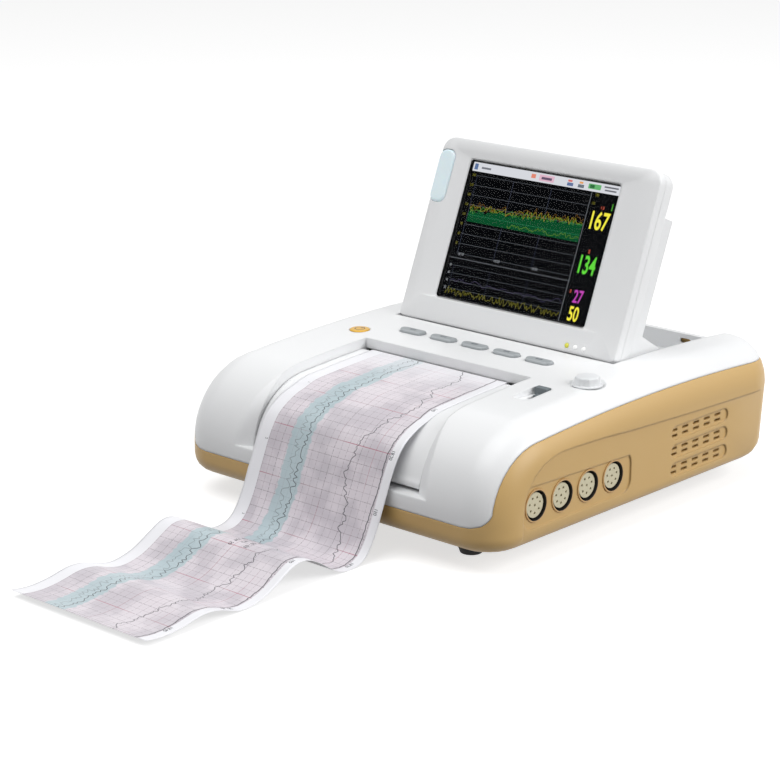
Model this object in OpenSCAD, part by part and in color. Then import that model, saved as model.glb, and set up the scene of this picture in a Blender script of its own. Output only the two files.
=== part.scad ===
// Portable fetal monitor with a folding colour display, a strip-chart recorder under a
// curved paper door, five keys, a power key, a rotary knob and four probe sockets.
// Origin: on the table, under the middle of the casing. +X right, +Y rear, +Z up.

/* [Casing] */
// Width of the casing
body_w = 248; // [244:1:256]
// Depth of the casing, front to back
body_d = 281; // [279:1:288]
// Height of the crest above the table
body_h = 86.5; // [85:0.5:89]
// Gap between the table and the casing
foot_gap = 13.5; // [12.5:0.5:14]
// Wall of both casings
wall = 3; // [2.6:0.1:3.4]
// Radius of the shoulders and the upright corners
shoulder_r = 24; // [22:1:26]
// Radius of the crown, front to back
crown_r = 1400; // [1300:50:1600]
// Radius of the nose that runs down to the front
nose_r = 50; // [48:1:52]
// Rounding of the bottom edge
edge_r = 10; // [8:1:12]
// Radius of the upright corners at the rear
rear_r = 34; // [30:1:36]
// Lean of the rear wall over its height
rear_draft = 5; // [4:0.5:5.5]
// Height of the parting line across the front
split_h = 28; // [27:0.5:29]

/* [Display] */
// Width of the display head
head_w = 170; // [166:1:172]
// Height of the display head
head_h = 117.7; // [116:0.1:118]
// Thickness of the head's rim
head_t = 15; // [14:0.5:16]
// Angle of the display from horizontal, as set
head_tilt = 67.8; // [60:0.1:70]
// Width of the picture (5.7 inch panel)
lcd_w = 115.2; // [113:0.1:116]
// Height of the picture
lcd_h = 86.4; // [84:0.1:87]
// Distance from the head's lower edge to the picture
lcd_u = 18.1; // [17:0.1:19]
// Radius of the hinge pins
pin_r = 2; // [1.8:0.1:2.2]

/* [Recorder] */
// Width of the paper channel between the rails
chan_w = 130; // [129:0.5:132]
// Rear edge of the paper channel, where the slot is
slot_y = -37; // [-38:0.5:-36]
// Depth of the door's face below the rails
door_drop = 6; // [5:0.5:7]
// Thickness of the door's skin
door_t = 2.5; // [2:0.1:3]
// Height of the sill in front of the door
sill_z = 38; // [37:0.5:38.5]
// Width of the chart paper
paper_w = 107; // [104:1:108]
// Radius of the rubber platen
platen_r = 6; // [5.6:0.1:6]
// Module of the gear teeth
gear_m = 0.75; // [0.7:0.01:0.75]

/* [Controls] */
// Spacing of the five keys
key_pitch = 24.9; // [24:0.1:26]
// Length of a key
key_l = 18.6; // [17:0.1:20]
// Width of a key, front to back
key_w = 8; // [7:0.1:8.6]
// Travel of a key
key_travel = 1; // [0.6:0.1:1.2]
// Diameter of the power key
power_d = 12.4; // [11:0.1:14]
// Diameter of the knob
knob_d = 14.5; // [14:0.1:16]
// Running clearance round keys and knob
slide_gap = 0.35; // [0.25:0.05:0.4]

/* [Sockets] */
// Spacing of the probe sockets
socket_pitch = 23.2; // [22.5:0.1:24]
// Bore of a socket, which takes the sleeve of the probe's plug
socket_bore = 17.2; // [16.6:0.1:17.4]
// Diameter of the insert with the contact holes
insert_d = 14.4; // [13.6:0.1:14.8]
// Outer diameter of a socket's ring
socket_d = 19.4; // [19:0.1:20]

/* [Hidden] */
$fn = 48;
blend_a = 5;
half_w = body_w / 2;
half_d = body_d / 2;
crest_y = -half_d + nose_r + (crown_r - nose_r) * sin(blend_a);
crown_z = body_h - crown_r;
nose_y = -half_d + nose_r;
nose_z = crown_z + (crown_r - nose_r) * cos(blend_a);
blend_y = nose_y - nose_r * sin(blend_a);
seam_r = 39.8;
seam_crown = 1390;
seam_y = nose_y - 3;
seam_foot = 12;
seam_gap = 0.15;
seam_back = sqrt(pow(seam_r + seam_foot, 2) - pow(split_h + seam_foot - nose_z, 2));
rear_top_r = 14;
lean_top = body_h - shoulder_r;
floor_z = foot_gap + wall;

// Recess and hinge of the display head
well_w = head_w + 2;
tub_t = 2.5;
head_y = 14.5;
head_z = body_h - 0.5;
split_n = 6;
pin_u = -1.5;
pin_n = 8;
pin_y = head_y + pin_u * cos(head_tilt) + pin_n * sin(head_tilt);
pin_z = head_z + pin_u * sin(head_tilt) - pin_n * cos(head_tilt);
leg_r = 43;
leg_w = head_w - 3;
well_r = leg_r + 1.5;
well_y = pin_y - 8;
tub_y = half_d - 6;
tub_lip = 1.1;
tub_z = pin_z - 19;
rim_z = pin_z - (head_t - pin_n) - 0.4;
bulge_n = head_t + 9;
bulge_u = 92;
catch_x = 51.5;
catch_z = rim_z - 4.4;
lcd_x = -2.2;
barrel_r = 6.4;

// Recorder
chan = chan_w / 2;
paper_x = -4;
door_gap = 0.6;
door_w = chan_w - 2 * door_gap;
door_r = 3;
door_y = -half_d + 10.1;
door_z = sill_z + door_r + 1.5;
arm_x = 62.4;
flare_a = 17;
flare_k = 1.05;
flare_x = -5.2;
platen_y = slot_y - 7.2;
bush_r = 3.2;
platen_z = body_h - 17.5;
paper_t = 0.3;
paper_gap = 0.35;
teeth_platen = 16;
teeth_idler = 24;
teeth_pinion = 12;
train_x = 56;
gear_w = 4;
idler_a = -72.6;
pinion_a = -102;
idler_y = platen_y + gear_m * (teeth_platen + teeth_idler) / 2 * cos(idler_a);
idler_z = platen_z + gear_m * (teeth_platen + teeth_idler) / 2 * sin(idler_a);
pinion_y = idler_y + gear_m * (teeth_idler + teeth_pinion) / 2 * cos(pinion_a);
pinion_z = idler_z + gear_m * (teeth_idler + teeth_pinion) / 2 * sin(pinion_a);
tray_z = floor_z + 9;
tray_y = door_y + door_r + 2.4;
tray_d = slot_y + 3 - tray_y;
tray_h = 18;
frame_x = 61.2;
frame_t = 2;
battery_x = -half_w + 10;
cell_l = -frame_x - 11 - battery_x;

// Controls
key_y = -10.8;
key_rise = 1.8;
key_dome = 16;
power_x = -half_w + 44;
control_y = -26.5;
knob_x = half_w - 26.2;
knob_h = 5.6;
dish_r = 12;
dish_h = 1.6;
latch_x = chan + 18;
latch_y = -53;
latch_bar_z = body_h - 16;
board_z = body_h - 15;
cap_foot = board_z + 3.4;
flange_t = 1.2;
flange_gap = 0.5;

// Side panels, vents and probe sockets
panel_in = 1.3;
pocket_in = 0.9;
pocket_x = half_w - panel_in - pocket_in;
pad_t = 3.2;
socket_y = -half_d + 38.9;
socket_z = 36.5;
pocket_y = socket_y + 1.5 * socket_pitch + 2.3;
vent_z = 48.5;
vent_y = half_d - 113.9;
vent_pitch = 10.9;
vent_row = 11.3;

// Rear panel
rear_in = 5.2;
rear_y = half_d - rear_in;
port_z = 32;
board_y = rear_y - 161.3;

function arc(c, r, a0, a1, n) =
    [for (i = [0:n]) c + r * [cos(a0 + (a1 - a0) * i / n), sin(a0 + (a1 - a0) * i / n)]];
// Height of the skin over a place y on the middle of the body
function skin_z(y) =
    y > blend_y ? crown_z + sqrt(pow(crown_r, 2) - pow(y - crest_y, 2))
    : nose_z + sqrt(pow(nose_r, 2) - pow(y - nose_y, 2));

// A profile drawn in Y and Z, carried across the body along X
module across(w, x = 0) {
    translate([x - w / 2, 0, 0]) rotate([90, 0, 90]) linear_extrude(w) children();
}
// The nose and the crown in side view, with a crown of radius r, t below the skin
module arch(t, r = crown_r) {
    c = crown_r - r - t;
    translate([nose_y, nose_z]) circle(nose_r - t, $fn = 96);
    intersection() {
        translate([crest_y - c * sin(blend_a), crown_z + c * cos(blend_a)]) circle(r, $fn = 1200);
        translate([nose_y - (nose_r - t) * sin(blend_a), foot_gap]) square([body_d, body_h]);
    }
}
module under_arch(t) {
    arch(t, crown_r - t);
    translate([-half_d + t, foot_gap]) square([nose_r, nose_z - foot_gap]);
}
// Everything below the parting line: it runs level across the front, turns up in a fillet,
// rounds the nose and follows the shoulder to the rear
module under_split() {
    across(body_w + 20) {
        translate([-body_d, 0]) square([body_d * 2, split_h]);
        intersection() {
            union() {
                translate([seam_y, nose_z]) circle(seam_r, $fn = 96);
                seam_rise();
                seam_top();
            }
            translate([-body_d, split_h - 1]) square([body_d * 2, body_h]);
        }
    }
}
module seam_rise() {
    difference() {
        polygon([[seam_y, split_h - 1], [seam_y, nose_z], [seam_y - seam_back, split_h + seam_foot],
            [seam_y - seam_back, split_h - 1]]);
        translate([seam_y - seam_back, split_h + seam_foot]) circle(seam_foot);
    }
}
module seam_top() {
    c = seam_crown - seam_r;
    intersection() {
        translate([seam_y + c * sin(blend_a), nose_z - c * cos(blend_a)]) circle(seam_crown, $fn = 1200);
        translate([seam_y - seam_r * sin(blend_a), foot_gap]) square([body_d, body_h]);
    }
}

// The casing's form: shoulders of one radius carried up the nose and along the crown,
// closed below by a pan with a rounded edge. Each function lists points on one of those
// surfaces, t below the skin. A shoulder station is [in from the outline, down from the crown].
function shoulder(t, n) =
    let (s = shoulder_r - t) [for (i = [0:n]) [s - s * sin(90 * i / n), s - s * cos(90 * i / n)]];
function rear_drop(y, t) =
    let (s = rear_top_r - t, e = y - (half_d - rear_top_r)) e <= 0 ? 0 : s - sqrt(max(0, s * s - e * e));
function lean(z) = rear_draft * min(1, max(0, (lean_top - z) / (lean_top - foot_gap)));
function nose_points(t, st) =
    [for (a = [90 + blend_a:8.5:180], m = [-1, 1], p = st) let (r = nose_r - t - p[1])
        [m * (half_w - t - p[0]), nose_y + r * cos(a), nose_z + r * sin(a)]];
function crown_row(y, w, t, st) =
    [for (m = [-1, 1], p = st) let (r = crown_r - t - p[1] - rear_drop(y, t))
        [m * (w - p[0]), y, crown_z + sqrt(r * r - pow(y - crest_y, 2))]];
function crown_points(t, st, n) =
    let (y0 = nose_y - (nose_r - t) * sin(blend_a), y1 = half_d - rear_r)
    [for (i = [1:n]) each crown_row(y0 + (y1 - y0) * i / n, half_w - t, t, st)];
function rear_points(t, st) =
    let (s = rear_r - t)
    [for (a = [12, 24, 36, 48, 60, 70, 80, 90])
        each crown_row(half_d - rear_r + s * sin(a), half_w - rear_r + s * cos(a), t, st)];
function ring(t, z, n) =
    [for (q = [0:3], i = [0:n]) let (a = 90 * q + 90 * i / n, r = q < 2 ? rear_r : shoulder_r)
        [sign(cos(90 * q + 45)) * (half_w - r) + (r - t) * cos(a),
            sign(sin(90 * q + 45)) * (half_d - r) + (r - t) * sin(a) - (q < 2 ? lean(z) : 0), z]];
function pan_points(t, n) =
    let (e = edge_r - t)
    concat([for (i = [0:5]) each ring(t + e - e * sin(18 * i), foot_gap + t + e - e * cos(18 * i), n)],
        ring(t, nose_z, n));
module envelope(t, n = 6) {
    st = shoulder(t, n);
    points = concat(nose_points(t, st), crown_points(t, st, 9), rear_points(t, st), pan_points(t, n));
    hull() polyhedron(points = points, faces = [for (i = [0:len(points) - 3]) [i, i + 1, i + 2]]);
}

// A flat shape with round ends, l long between the outer ends and w wide, along X
module pill(l, w) {
    square([l - w, w], center = true);
    for (m = [-1, 1]) translate([m * (l - w) / 2, 0]) circle(d = w);
}
module rounded(w, h, r) {
    square([w - 2 * r, h], center = true);
    square([w, h - 2 * r], center = true);
    for (m = [-1, 1], n = [-1, 1]) translate([m * (w / 2 - r), n * (h / 2 - r)]) circle(r);
}
module tube(ro, ri, h) {
    difference() {
        cylinder(r = ro, h = h);
        translate([0, 0, -1]) cylinder(r = ri, h = h + 2);
    }
}
// Round wire wound into an open coil that stands on Z
function coil_points(r, wire, h, turns, n, m) =
    [for (i = [0:turns * n], k = [0:m - 1]) let (a = 360 * i / n, b = 360 * k / m)
        [(r + wire * cos(b)) * cos(a), (r + wire * cos(b)) * sin(a), h * i / (turns * n) + wire * sin(b)]];
module coil(r, wire, h, turns) {
    n = 16;
    m = 6;
    last = turns * n;
    polyhedron(points = coil_points(r, wire, h, turns, n, m), faces = concat(
        [[for (k = [0:m - 1]) k]], [[for (k = [m - 1:-1:0]) last * m + k]],
        [for (i = [0:last - 1], k = [0:m - 1]) let (a = i * m + k, b = i * m + (k + 1) % m) [a, a + m, b + m, b]]));
}

// Places that several pieces share
foot_places = [for (p = [[half_w - 45, -half_d + 35], [well_w / 2 - 7, half_d - 34.5]], m = [-1, 1])
    [m * p[0], p[1]]];
module at_feet() { for (p = foot_places) translate([p[0], p[1], 0]) children(); }
module at_socket(i) {
    translate([pocket_x, socket_y + i * socket_pitch, socket_z]) rotate([0, 90, 0]) children();
}
module in_head() { translate([0, head_y, head_z]) rotate([head_tilt, 0, 0]) children(); }
module frame_feet() { for (m = [-1, 1], y = [20, -4]) translate([m * (frame_x + 5.8), slot_y - y, 0]) children(); }
// A shape drawn in Y and Z on both sides of the casing, d deep from x inwards
module on_sides(x, d, out = 3) {
    for (m = [-1, 1]) across(d + out, m * (x + (out - d) / 2)) children();
}

module panel_shape() {
    top = [[116, 30.2], [50, 28.5], [-10, 26.1], [-40, 24.4], [-66, 23.6]];
    front = [[60.5, 23.6], [52.5, 24.7], [43.5, 27.5], [35.5, 32.5], [30.5, 38.7], [27.1, 46.5], [26, 56.5]];
    polygon(concat([[half_d + 5, 0], [half_d + 5, body_h - 31.1]], [for (p = top) [p[0], body_h - p[1]]],
        [for (p = front) [p[0] - half_d, body_h - p[1]]], [[26 - half_d, 0]]));
}
module pocket_shape() {
    difference() {
        translate([pocket_y, socket_z - 0.3]) rounded(97.5, 25, 8);
        rotate(-1.6) translate([pocket_y - 45.5, socket_z + 8.7]) square([120, 20]);
    }
}
module vent_dishes() {
    for (k = [0:2]) translate([vent_y + 2 * vent_pitch + 3.2, vent_z - k * vent_row]) pill(57, 8.4);
}
module vent_slots() {
    for (k = [0:2], i = [0:4], j = [-1, 1])
        translate([vent_y + i * vent_pitch, vent_z - k * vent_row + j * 1.75]) pill(6.2, 1.6);
}

module bottom_case() {
    color("burlywood") difference() {
        union() {
            difference() {
                intersection() {
                    envelope(0);
                    under_split();
                }
                envelope(wall);
            }
            on_sides(pocket_x, pad_t, 1) {
                translate([pocket_y + 0.5, socket_z - 0.5]) square([104, 30], center = true);
                translate([vent_y + 2 * vent_pitch + 2, vent_z - vent_row]) square([64, 36], center = true);
            }
            translate([-96, rear_y - 3, port_z - 16]) cube([192, 3.4, 32]);
            at_feet() translate([0, 0, floor_z - 1]) cylinder(d = 10, h = split_h - floor_z);
            for (x = [-30, 30], y = [6, 76]) translate([x, board_y + y, floor_z - 1]) cylinder(d = 7, h = 5);
            frame_feet() translate([0, 0, floor_z - 1]) cylinder(d = 8, h = tray_z - floor_z + 1);
            for (x = [-40, 32], y = [tray_y + 15, slot_y - 13]) translate([x, y, floor_z - 1])
                cylinder(d = 6, h = tray_z - floor_z + 1);
        }
        on_sides(half_w, panel_in) panel_shape();
        on_sides(half_w - panel_in, pocket_in) pocket_shape();
        on_sides(half_w - panel_in, pocket_in) vent_dishes();
        on_sides(half_w - panel_in, 8) vent_slots();
        for (i = [0:3]) at_socket(i) translate([0, 0, -8]) cylinder(d = socket_d - 0.8, h = 12);
        at_feet() {
            translate([0, 0, foot_gap - 1]) cylinder(d = 3.4, h = 40);
            translate([0, 0, foot_gap - 1]) cylinder(d = 14.4, h = 2.2);
        }
        frame_feet() translate([0, 0, floor_z]) cylinder(d = 2.4, h = 12);
        translate([-92, rear_y, port_z - 14]) cube([184, 10, 28]);
        translate([70, half_d, port_z]) cube([27.4, 20, 20], center = true);
        translate([-20, half_d, port_z]) cube([19.4, 20, 10.4], center = true);
        translate([-68, half_d, port_z]) cube([16.4, 20, 13.9], center = true);
        translate([34, half_d, port_z]) rotate([90, 0, 0]) cylinder(d = 8.2, h = 20, center = true);
    }
}

// Side walls of the paper channel with the solid behind their flared mouth, the wall of the
// paper slot, and the sill
module channel_walls() {
    for (m = [-1, 1]) {
        across(tub_t, m * (chan + tub_t / 2)) channel_band(14);
        intersection() {
            across(14, m * (chan + 7)) channel_band(12);
            translate([-half_w, -half_d, sill_z - 2.5]) cube([body_w, 40, body_h]);
        }
    }
    translate([-chan - tub_t, slot_y, platen_z + platen_r + 3.5])
        cube([chan_w + 2 * tub_t, tub_t, skin_z(slot_y) - 1 - platen_z - platen_r - 3.5]);
    translate([-chan - 1, -half_d + 1, sill_z - 2.5]) cube([chan_w + 2, half_d + door_y + door_r + 1, 2.5]);
}
module channel_band(deep) {
    intersection() {
        difference() {
            under_arch(1);
            under_arch(deep);
        }
        translate([-half_d, sill_z - 2.5]) square([half_d + slot_y + tub_t, body_h]);
    }
}
// Cone that opens the mouth of the channel towards the front, in two mirrored places
module flare() {
    intersection() {
        for (m = [-1, 1]) translate([m * chan, nose_y, nose_z]) rotate([0, 0, m * flare_a]) rotate([0, m * 90, 0])
            rotate_extrude($fn = 96) polygon([[30, -50], [30, flare_x - 20 * flare_k],
                [nose_r + 5, flare_x + 5 * flare_k], [nose_r + 5, -50]]);
        translate([-half_w, -half_d - 5, sill_z]) cube([body_w, 60, body_h]);
    }
}
// The tub in side view, g outside its inner face: a round well for the head's leg, then a shelf
module tub_shape(g) {
    intersection() {
        under_arch(1);
        union() {
            translate([pin_y, tub_z - g]) square([tub_y - pin_y + g, body_h]);
            translate([well_y - g, pin_z]) square([40, body_h]);
            intersection() {
                translate([pin_y, pin_z]) circle(well_r + g, $fn = 96);
                translate([well_y - g, 0]) square([100, body_h]);
            }
        }
    }
}
module tub() {
    difference() {
        across(well_w + 2 * tub_t) tub_shape(tub_t);
        across(well_w) {
            tub_shape(0);
            translate([well_y, body_h - 6]) square([tub_y - well_y, 12]);
        }
    }
    for (m = [-1, 1]) translate([m * (well_w / 2 + tub_t - 0.5), pin_y, pin_z]) rotate([0, m * 90, 0])
        cylinder(r = pin_r + 2.2, h = 6);
}

module top_case() {
    color("whitesmoke") difference() {
        union() {
            difference() {
                envelope(0);
                translate([0, -seam_gap, seam_gap]) under_split();
                envelope(wall);
                translate([-chan, -body_d, sill_z]) cube([chan_w, body_d + slot_y, body_h]);
                translate([-well_w / 2, well_y, 0]) cube([well_w, tub_y - well_y, body_h * 2]);
            }
            intersection() {
                envelope(0.5);
                union() {
                    channel_walls();
                    difference() {
                        tub();
                        intersection() {
                            translate([0, -seam_gap, seam_gap]) under_split();
                            translate([-half_w, tub_y + tub_lip, 0]) cube([body_w, 10, body_h]);
                        }
                    }
                    for (p = foot_places) translate([p[0], p[1], split_h])
                        cylinder(d = 9, h = (p[1] > 0 ? tub_z - 1 : skin_z(p[1]) - wall + 1) - split_h);
                    translate([latch_x, latch_y - 5, skin_z(latch_y) - 6]) linear_extrude(4) rounded(17, 30, 4);
                    translate([knob_x, control_y, skin_z(control_y) - 5]) cylinder(r = dish_r + 1, h = 4);
                    translate([latch_x - 3, latch_y - 13.6, latch_bar_z - 1.5])
                        cube([6, 2, skin_z(latch_y) - 3 - latch_bar_z]);
                }
            }
        }
        flare();
        translate([-well_w / 2, tub_y - 1, rim_z]) cube([well_w, 20, body_h]);
        for (i = [-2:2]) translate([i * key_pitch, key_y, board_z]) linear_extrude(30)
            pill(key_l + 2 * slide_gap, key_w + 2 * slide_gap);
        translate([power_x, control_y, board_z]) cylinder(d = power_d + 2 * slide_gap, h = 30);
        translate([knob_x, control_y, skin_z(control_y) - dish_h])
            cylinder(r1 = dish_r - 2.4, r2 = dish_r + 0.6, h = 3);
        translate([knob_x, control_y, skin_z(control_y) - 20]) cylinder(d = 7.4, h = 30);
        // Finger scoop of the door latch, with its slot
        translate([latch_x, latch_y - 5, skin_z(latch_y) - 3.5]) linear_extrude(10) rounded(11.2, 25, 3);
        translate([latch_x - 2.2, latch_y - 7.5, skin_z(latch_y) - 12]) cube([4.4, 15, 12]);
        translate([chan - 2, latch_y - 7.5, latch_bar_z - 0.5]) cube([8, 13, 4]);
        for (m = [-1, 1]) {
            translate([m * (well_w / 2 - 1), pin_y, pin_z]) rotate([0, m * 90, 0]) cylinder(r = pin_r + 0.05, h = 8);
            translate([m * catch_x, tub_y, catch_z]) rotate([90, 0, 0])
                linear_extrude(8, center = true) pill(8.4, 3.2);
            translate([m * (chan - 1), door_y, door_z]) rotate([0, m * 90, 0]) cylinder(r = 1.55, h = 5);
        }
        at_feet() translate([0, 0, split_h - 1]) cylinder(d = 2.4, h = 16);
    }
}

module feet() {
    color("#202124") at_feet() difference() {
        union() {
            cylinder(d1 = 13, d2 = 16, h = 4);
            translate([0, 0, 3.9]) cylinder(d = 16, h = foot_gap - 3.95);
            translate([0, 0, foot_gap - 0.5]) cylinder(d = 14, h = 1.6);
        }
        translate([0, 0, -1]) cylinder(d = 6.4, h = 10);
        translate([0, 0, 2]) cylinder(d = 3.4, h = 20);
    }
}
module case_screws() {
    color("silver") at_feet() difference() {
        union() {
            translate([0, 0, 6.6]) cylinder(d = 5.8, h = 2.4);
            translate([0, 0, 8.5]) cylinder(d = 2.4, h = split_h + 4);
        }
        translate([0, 0, 6]) cylinder(d = 2.6, h = 2, $fn = 6);
    }
}

// Probe socket: a ring that clamps the side wall, with its nut inside. The plug's sleeve
// goes into the ring, round the insert.
module socket(i) {
    color("#3a3a3a") at_socket(i) difference() {
        union() {
            translate([0, 0, 0.02]) cylinder(d = socket_d, h = 0.7);
            translate([0, 0, -9]) cylinder(d = socket_d - 1, h = 9.5);
            translate([0, 0, -pad_t - 2.6]) cylinder(d = socket_d + 3, h = 2.5);
        }
        translate([0, 0, -8]) cylinder(d = socket_bore, h = 12);
    }
}
module socket_inserts() {
    color("#cdc6aa") for (i = [0:3]) at_socket(i) difference() {
        translate([0, 0, -7.98]) cylinder(d = insert_d, h = 7.3);
        translate([0, 0, -4]) cylinder(d = 1.5, h = 5, $fn = 16);
        for (k = [0:6]) rotate(k * 360 / 7) translate([4.5, 0, -4]) cylinder(d = 1.5, h = 5, $fn = 16);
    }
    color("gold") for (i = [0:3], k = [0:6]) at_socket(i) rotate(k * 360 / 7) translate([4.5, 0, -13.6])
        cylinder(d = 0.8, h = 4.58, $fn = 16);
}
module socket_board() {
    color("darkgreen") difference() {
        translate([pocket_x - 13, socket_y - 11, socket_z - 14]) cube([1.6, 3 * socket_pitch + 22, 28]);
        for (i = [0:3], k = [0:6]) at_socket(i) rotate(k * 360 / 7) translate([4.5, 0, -14])
            cylinder(d = 1, h = 4, $fn = 16);
    }
}

module main_board() {
    color("seagreen") translate([0, board_y, floor_z + 4]) {
        translate([-60, 0, 0]) cube([120, 84, 1.6]);
        for (p = [[-30, 36, 24], [20, 46, 18], [20, 14, 12]]) translate([p[0], p[1], 1.6]) cube([p[2], p[2], 2.2]);
        for (x = [-50, -40, 44]) translate([x, 70, 1.6]) cylinder(d = 6, h = 6);
        translate([-20, 74, 1.6]) cube([40, 6, 6]);
    }
}
module power_supply() {
    translate([-6, rear_y - 69.3, floor_z + 0.05]) {
        color("silver") difference() {
            cube([76, 46, 30]);
            translate([1, 1, 1]) cube([74, 44, 30]);
        }
        for (x = [6, 70], y = [6, 40]) color("silver") translate([x, y, 0.9]) cylinder(d = 5, h = 5);
        color("darkgreen") translate([1.5, 1.5, 5.9]) cube([73, 43, 1.6]);
        color("gold") translate([18, 10, 7.4]) cube([24, 26, 20]);
        for (x = [8, 52, 62]) color("black") translate([x, 22, 7.4]) cylinder(d = 8, h = 16);
    }
}
module battery_pack() {
    translate([battery_x, tray_y + 25.6, floor_z + 0.1]) {
        color("steelblue") for (i = [0:2]) translate([0, 9.2 + i * 18.3, 9.2]) rotate([0, 90, 0])
            cylinder(d = 18.4, h = cell_l);
        color("darkgreen") translate([0, 54, 4]) cube([cell_l, 2.4, 10]);
    }
}
module speaker() {
    color("dimgray") translate([-pocket_x + pad_t + 0.1, vent_y + 2 * vent_pitch + 2, vent_z - vent_row])
        rotate([0, 90, 0]) {
            difference() {
                cylinder(d = 36, h = 4);
                translate([0, 0, -1]) cylinder(d = 31, h = 3);
            }
            translate([0, 0, 1]) tube(15.4, 3, 1.1);
            translate([0, 0, 3.9]) cylinder(d = 20, h = 6);
        }
}
module mains_inlet() {
    translate([70, rear_y, port_z]) {
        color("#1c1c1e") difference() {
            union() {
                translate([-15.5, 0.05, -11.7]) cube([31, 1.2, 23.4]);
                translate([-13.5, -22, -9.7]) cube([27, 22.5, 19.4]);
            }
            translate([-11.8, -16, -7.8]) cube([23.6, 20, 15.6]);
        }
        color("silver") for (x = [-7, 0, 7]) translate([x - 1, -16.5, x == 0 ? 0 : -3]) cube([2, 13, 4]);
    }
}
module data_ports() {
    color("silver") translate([-20, rear_y, port_z]) difference() {
        union() {
            translate([-15.5, 0.05, -6.2]) cube([31, 0.9, 12.4]);
            translate([-9.5, -10, -5]) cube([19, 14, 10]);
        }
        translate([-8.4, -6, -4]) cube([16.8, 14, 8]);
    }
    color("silver") translate([-68, rear_y, port_z]) difference() {
        union() {
            translate([-9, 0.05, -7.8]) cube([18, 0.6, 15.6]);
            translate([-8, -14, -6.8]) cube([16, 14.4, 13.6]);
        }
        translate([-6, -11, -5.2]) cube([12, 13, 9]);
    }
}
module ground_stud() {
    color("gold") translate([34, rear_y, port_z]) rotate([-90, 0, 0]) {
        translate([0, 0, -8]) cylinder(d = 8, h = 8.1);
        translate([0, 0, 0.05]) cylinder(d = 12, h = 1.2);
        cylinder(d = 6, h = 7);
        translate([0, 0, -6.6]) cylinder(d = 12, h = 3.5, $fn = 6);
    }
}

// Board under the key panel with its key switches
module key_board() {
    color("darkgreen") {
        translate([-68, -27.5, board_z - 1.6]) cube([140, well_y - tub_t + 27.5 - 0.6, 1.6]);
        translate([-92, -34, board_z - 1.6]) cube([24.5, well_y - tub_t + 34 - 0.6, 1.6]);
    }
    color("black") {
        for (i = [-2:2]) translate([i * key_pitch - 3, key_y - 3, board_z - 0.01])
            cube([6, 6, cap_foot - board_z - key_travel - 0.04]);
        translate([power_x - 3, control_y - 3, board_z - 0.01]) cube([6, 6, cap_foot - board_z - key_travel - 0.04]);
    }
}
// A key cap: a domed pill, on a flange that stops it under the panel, with a stem to its switch
module key(i) {
    top = skin_z(key_y) + key_rise;
    flange = skin_z(key_y) - wall - flange_t - flange_gap;
    color("#8f9498") translate([(i - 3) * key_pitch, key_y, 0]) {
        intersection() {
            translate([0, 0, flange]) linear_extrude(top - flange) pill(key_l, key_w);
            translate([-key_l, 0, top - key_dome]) rotate([0, 90, 0]) cylinder(r = key_dome, h = 2 * key_l);
        }
        translate([0, 0, flange]) linear_extrude(flange_t) pill(key_l + 2.4, key_w + 2.4);
        translate([0, 0, cap_foot]) cylinder(d = 4, h = flange - cap_foot + 0.5);
    }
}
module power_key() {
    top = skin_z(control_y) + 0.5;
    flange = skin_z(control_y) - wall - flange_t - flange_gap;
    color("goldenrod") translate([power_x, control_y, 0]) {
        translate([0, 0, flange]) cylinder(d = power_d, h = top - flange - 0.5);
        translate([0, 0, top - 0.5]) cylinder(d1 = power_d, d2 = power_d - 1.4, h = 0.5);
        translate([0, 0, flange]) cylinder(d = power_d + 2.4, h = flange_t);
        translate([0, 0, cap_foot]) cylinder(d = 4, h = flange - cap_foot + 0.5);
    }
}

// Rotary encoder with its push shaft, and the knob
knob_z = skin_z(control_y) - dish_h + 0.6;
enc_z = skin_z(control_y) - 5.1;
module encoder() {
    translate([knob_x, control_y, 0]) {
        color("dimgray") difference() {
            union() {
                translate([-6.5, -6.5, enc_z - 7]) cube([13, 13, 7]);
                translate([0, 0, enc_z - 0.5]) cylinder(d = 7, h = 3.6);
            }
            translate([0, 0, enc_z - 6]) cylinder(d = 6.1, h = 14);
        }
        color("darkgreen") translate([-10, -11, enc_z - 8.6]) cube([20, 22, 1.65]);
    }
}
module encoder_plunger() {
    color("white") translate([knob_x, control_y, enc_z - 5.4]) cylinder(d = 5.6, h = 1.2);
}
module encoder_shaft() {
    color("silver") translate([knob_x, control_y, enc_z - 4.15]) difference() {
        cylinder(d = 6, h = knob_z + knob_h - 1.4 - enc_z + 4.15);
        translate([1.5, -4, knob_z - enc_z + 3.9]) cube([8, 8, 20]);
    }
}
module knob() {
    bore_h = knob_h - 1.3;
    color("#d9dcde") translate([knob_x, control_y, knob_z]) difference() {
        union() {
            cylinder(r = dish_r - 3, h = 1);
            rotate_extrude($fn = 72) polygon(concat([[0, 0.5], [knob_d / 2 + 0.4, 0.5]],
                arc([knob_d / 2 - 1.2, knob_h - 1.2], 1.2, 0, 90, 5), [[0, knob_h]]));
        }
        intersection() {
            translate([0, 0, -1]) cylinder(d = 6.02, h = bore_h + 1);
            translate([-5, -5, -1]) cube([6.51, 10, 20]);
        }
        for (k = [0:15]) rotate(k * 22.5) translate([knob_d / 2 + 0.55, 0, 1.4])
            cylinder(d = 1.5, h = knob_h - 2.8, $fn = 24);
    }
}

// Recorder: tray, pack, frame, thermal head and drive
module paper_tray() {
    w = paper_w + 5;
    color("gainsboro") translate([paper_x, 0, tray_z + 0.05]) difference() {
        translate([-w / 2, tray_y, 0]) cube([w, tray_d, tray_h]);
        translate([-w / 2 + 1.6, tray_y + 1.6, 1.6]) cube([w - 3.2, tray_d - 3.2, tray_h]);
        translate([0, tray_y + tray_d / 2, -1]) cylinder(d = 30, h = 5);
    }
}
module paper_pack() {
    color("#f3e4ee") translate([paper_x - paper_w / 2, tray_y + 2.2, tray_z + 1.7])
        cube([paper_w, tray_d - 4.4, tray_h - 5]);
}
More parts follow.
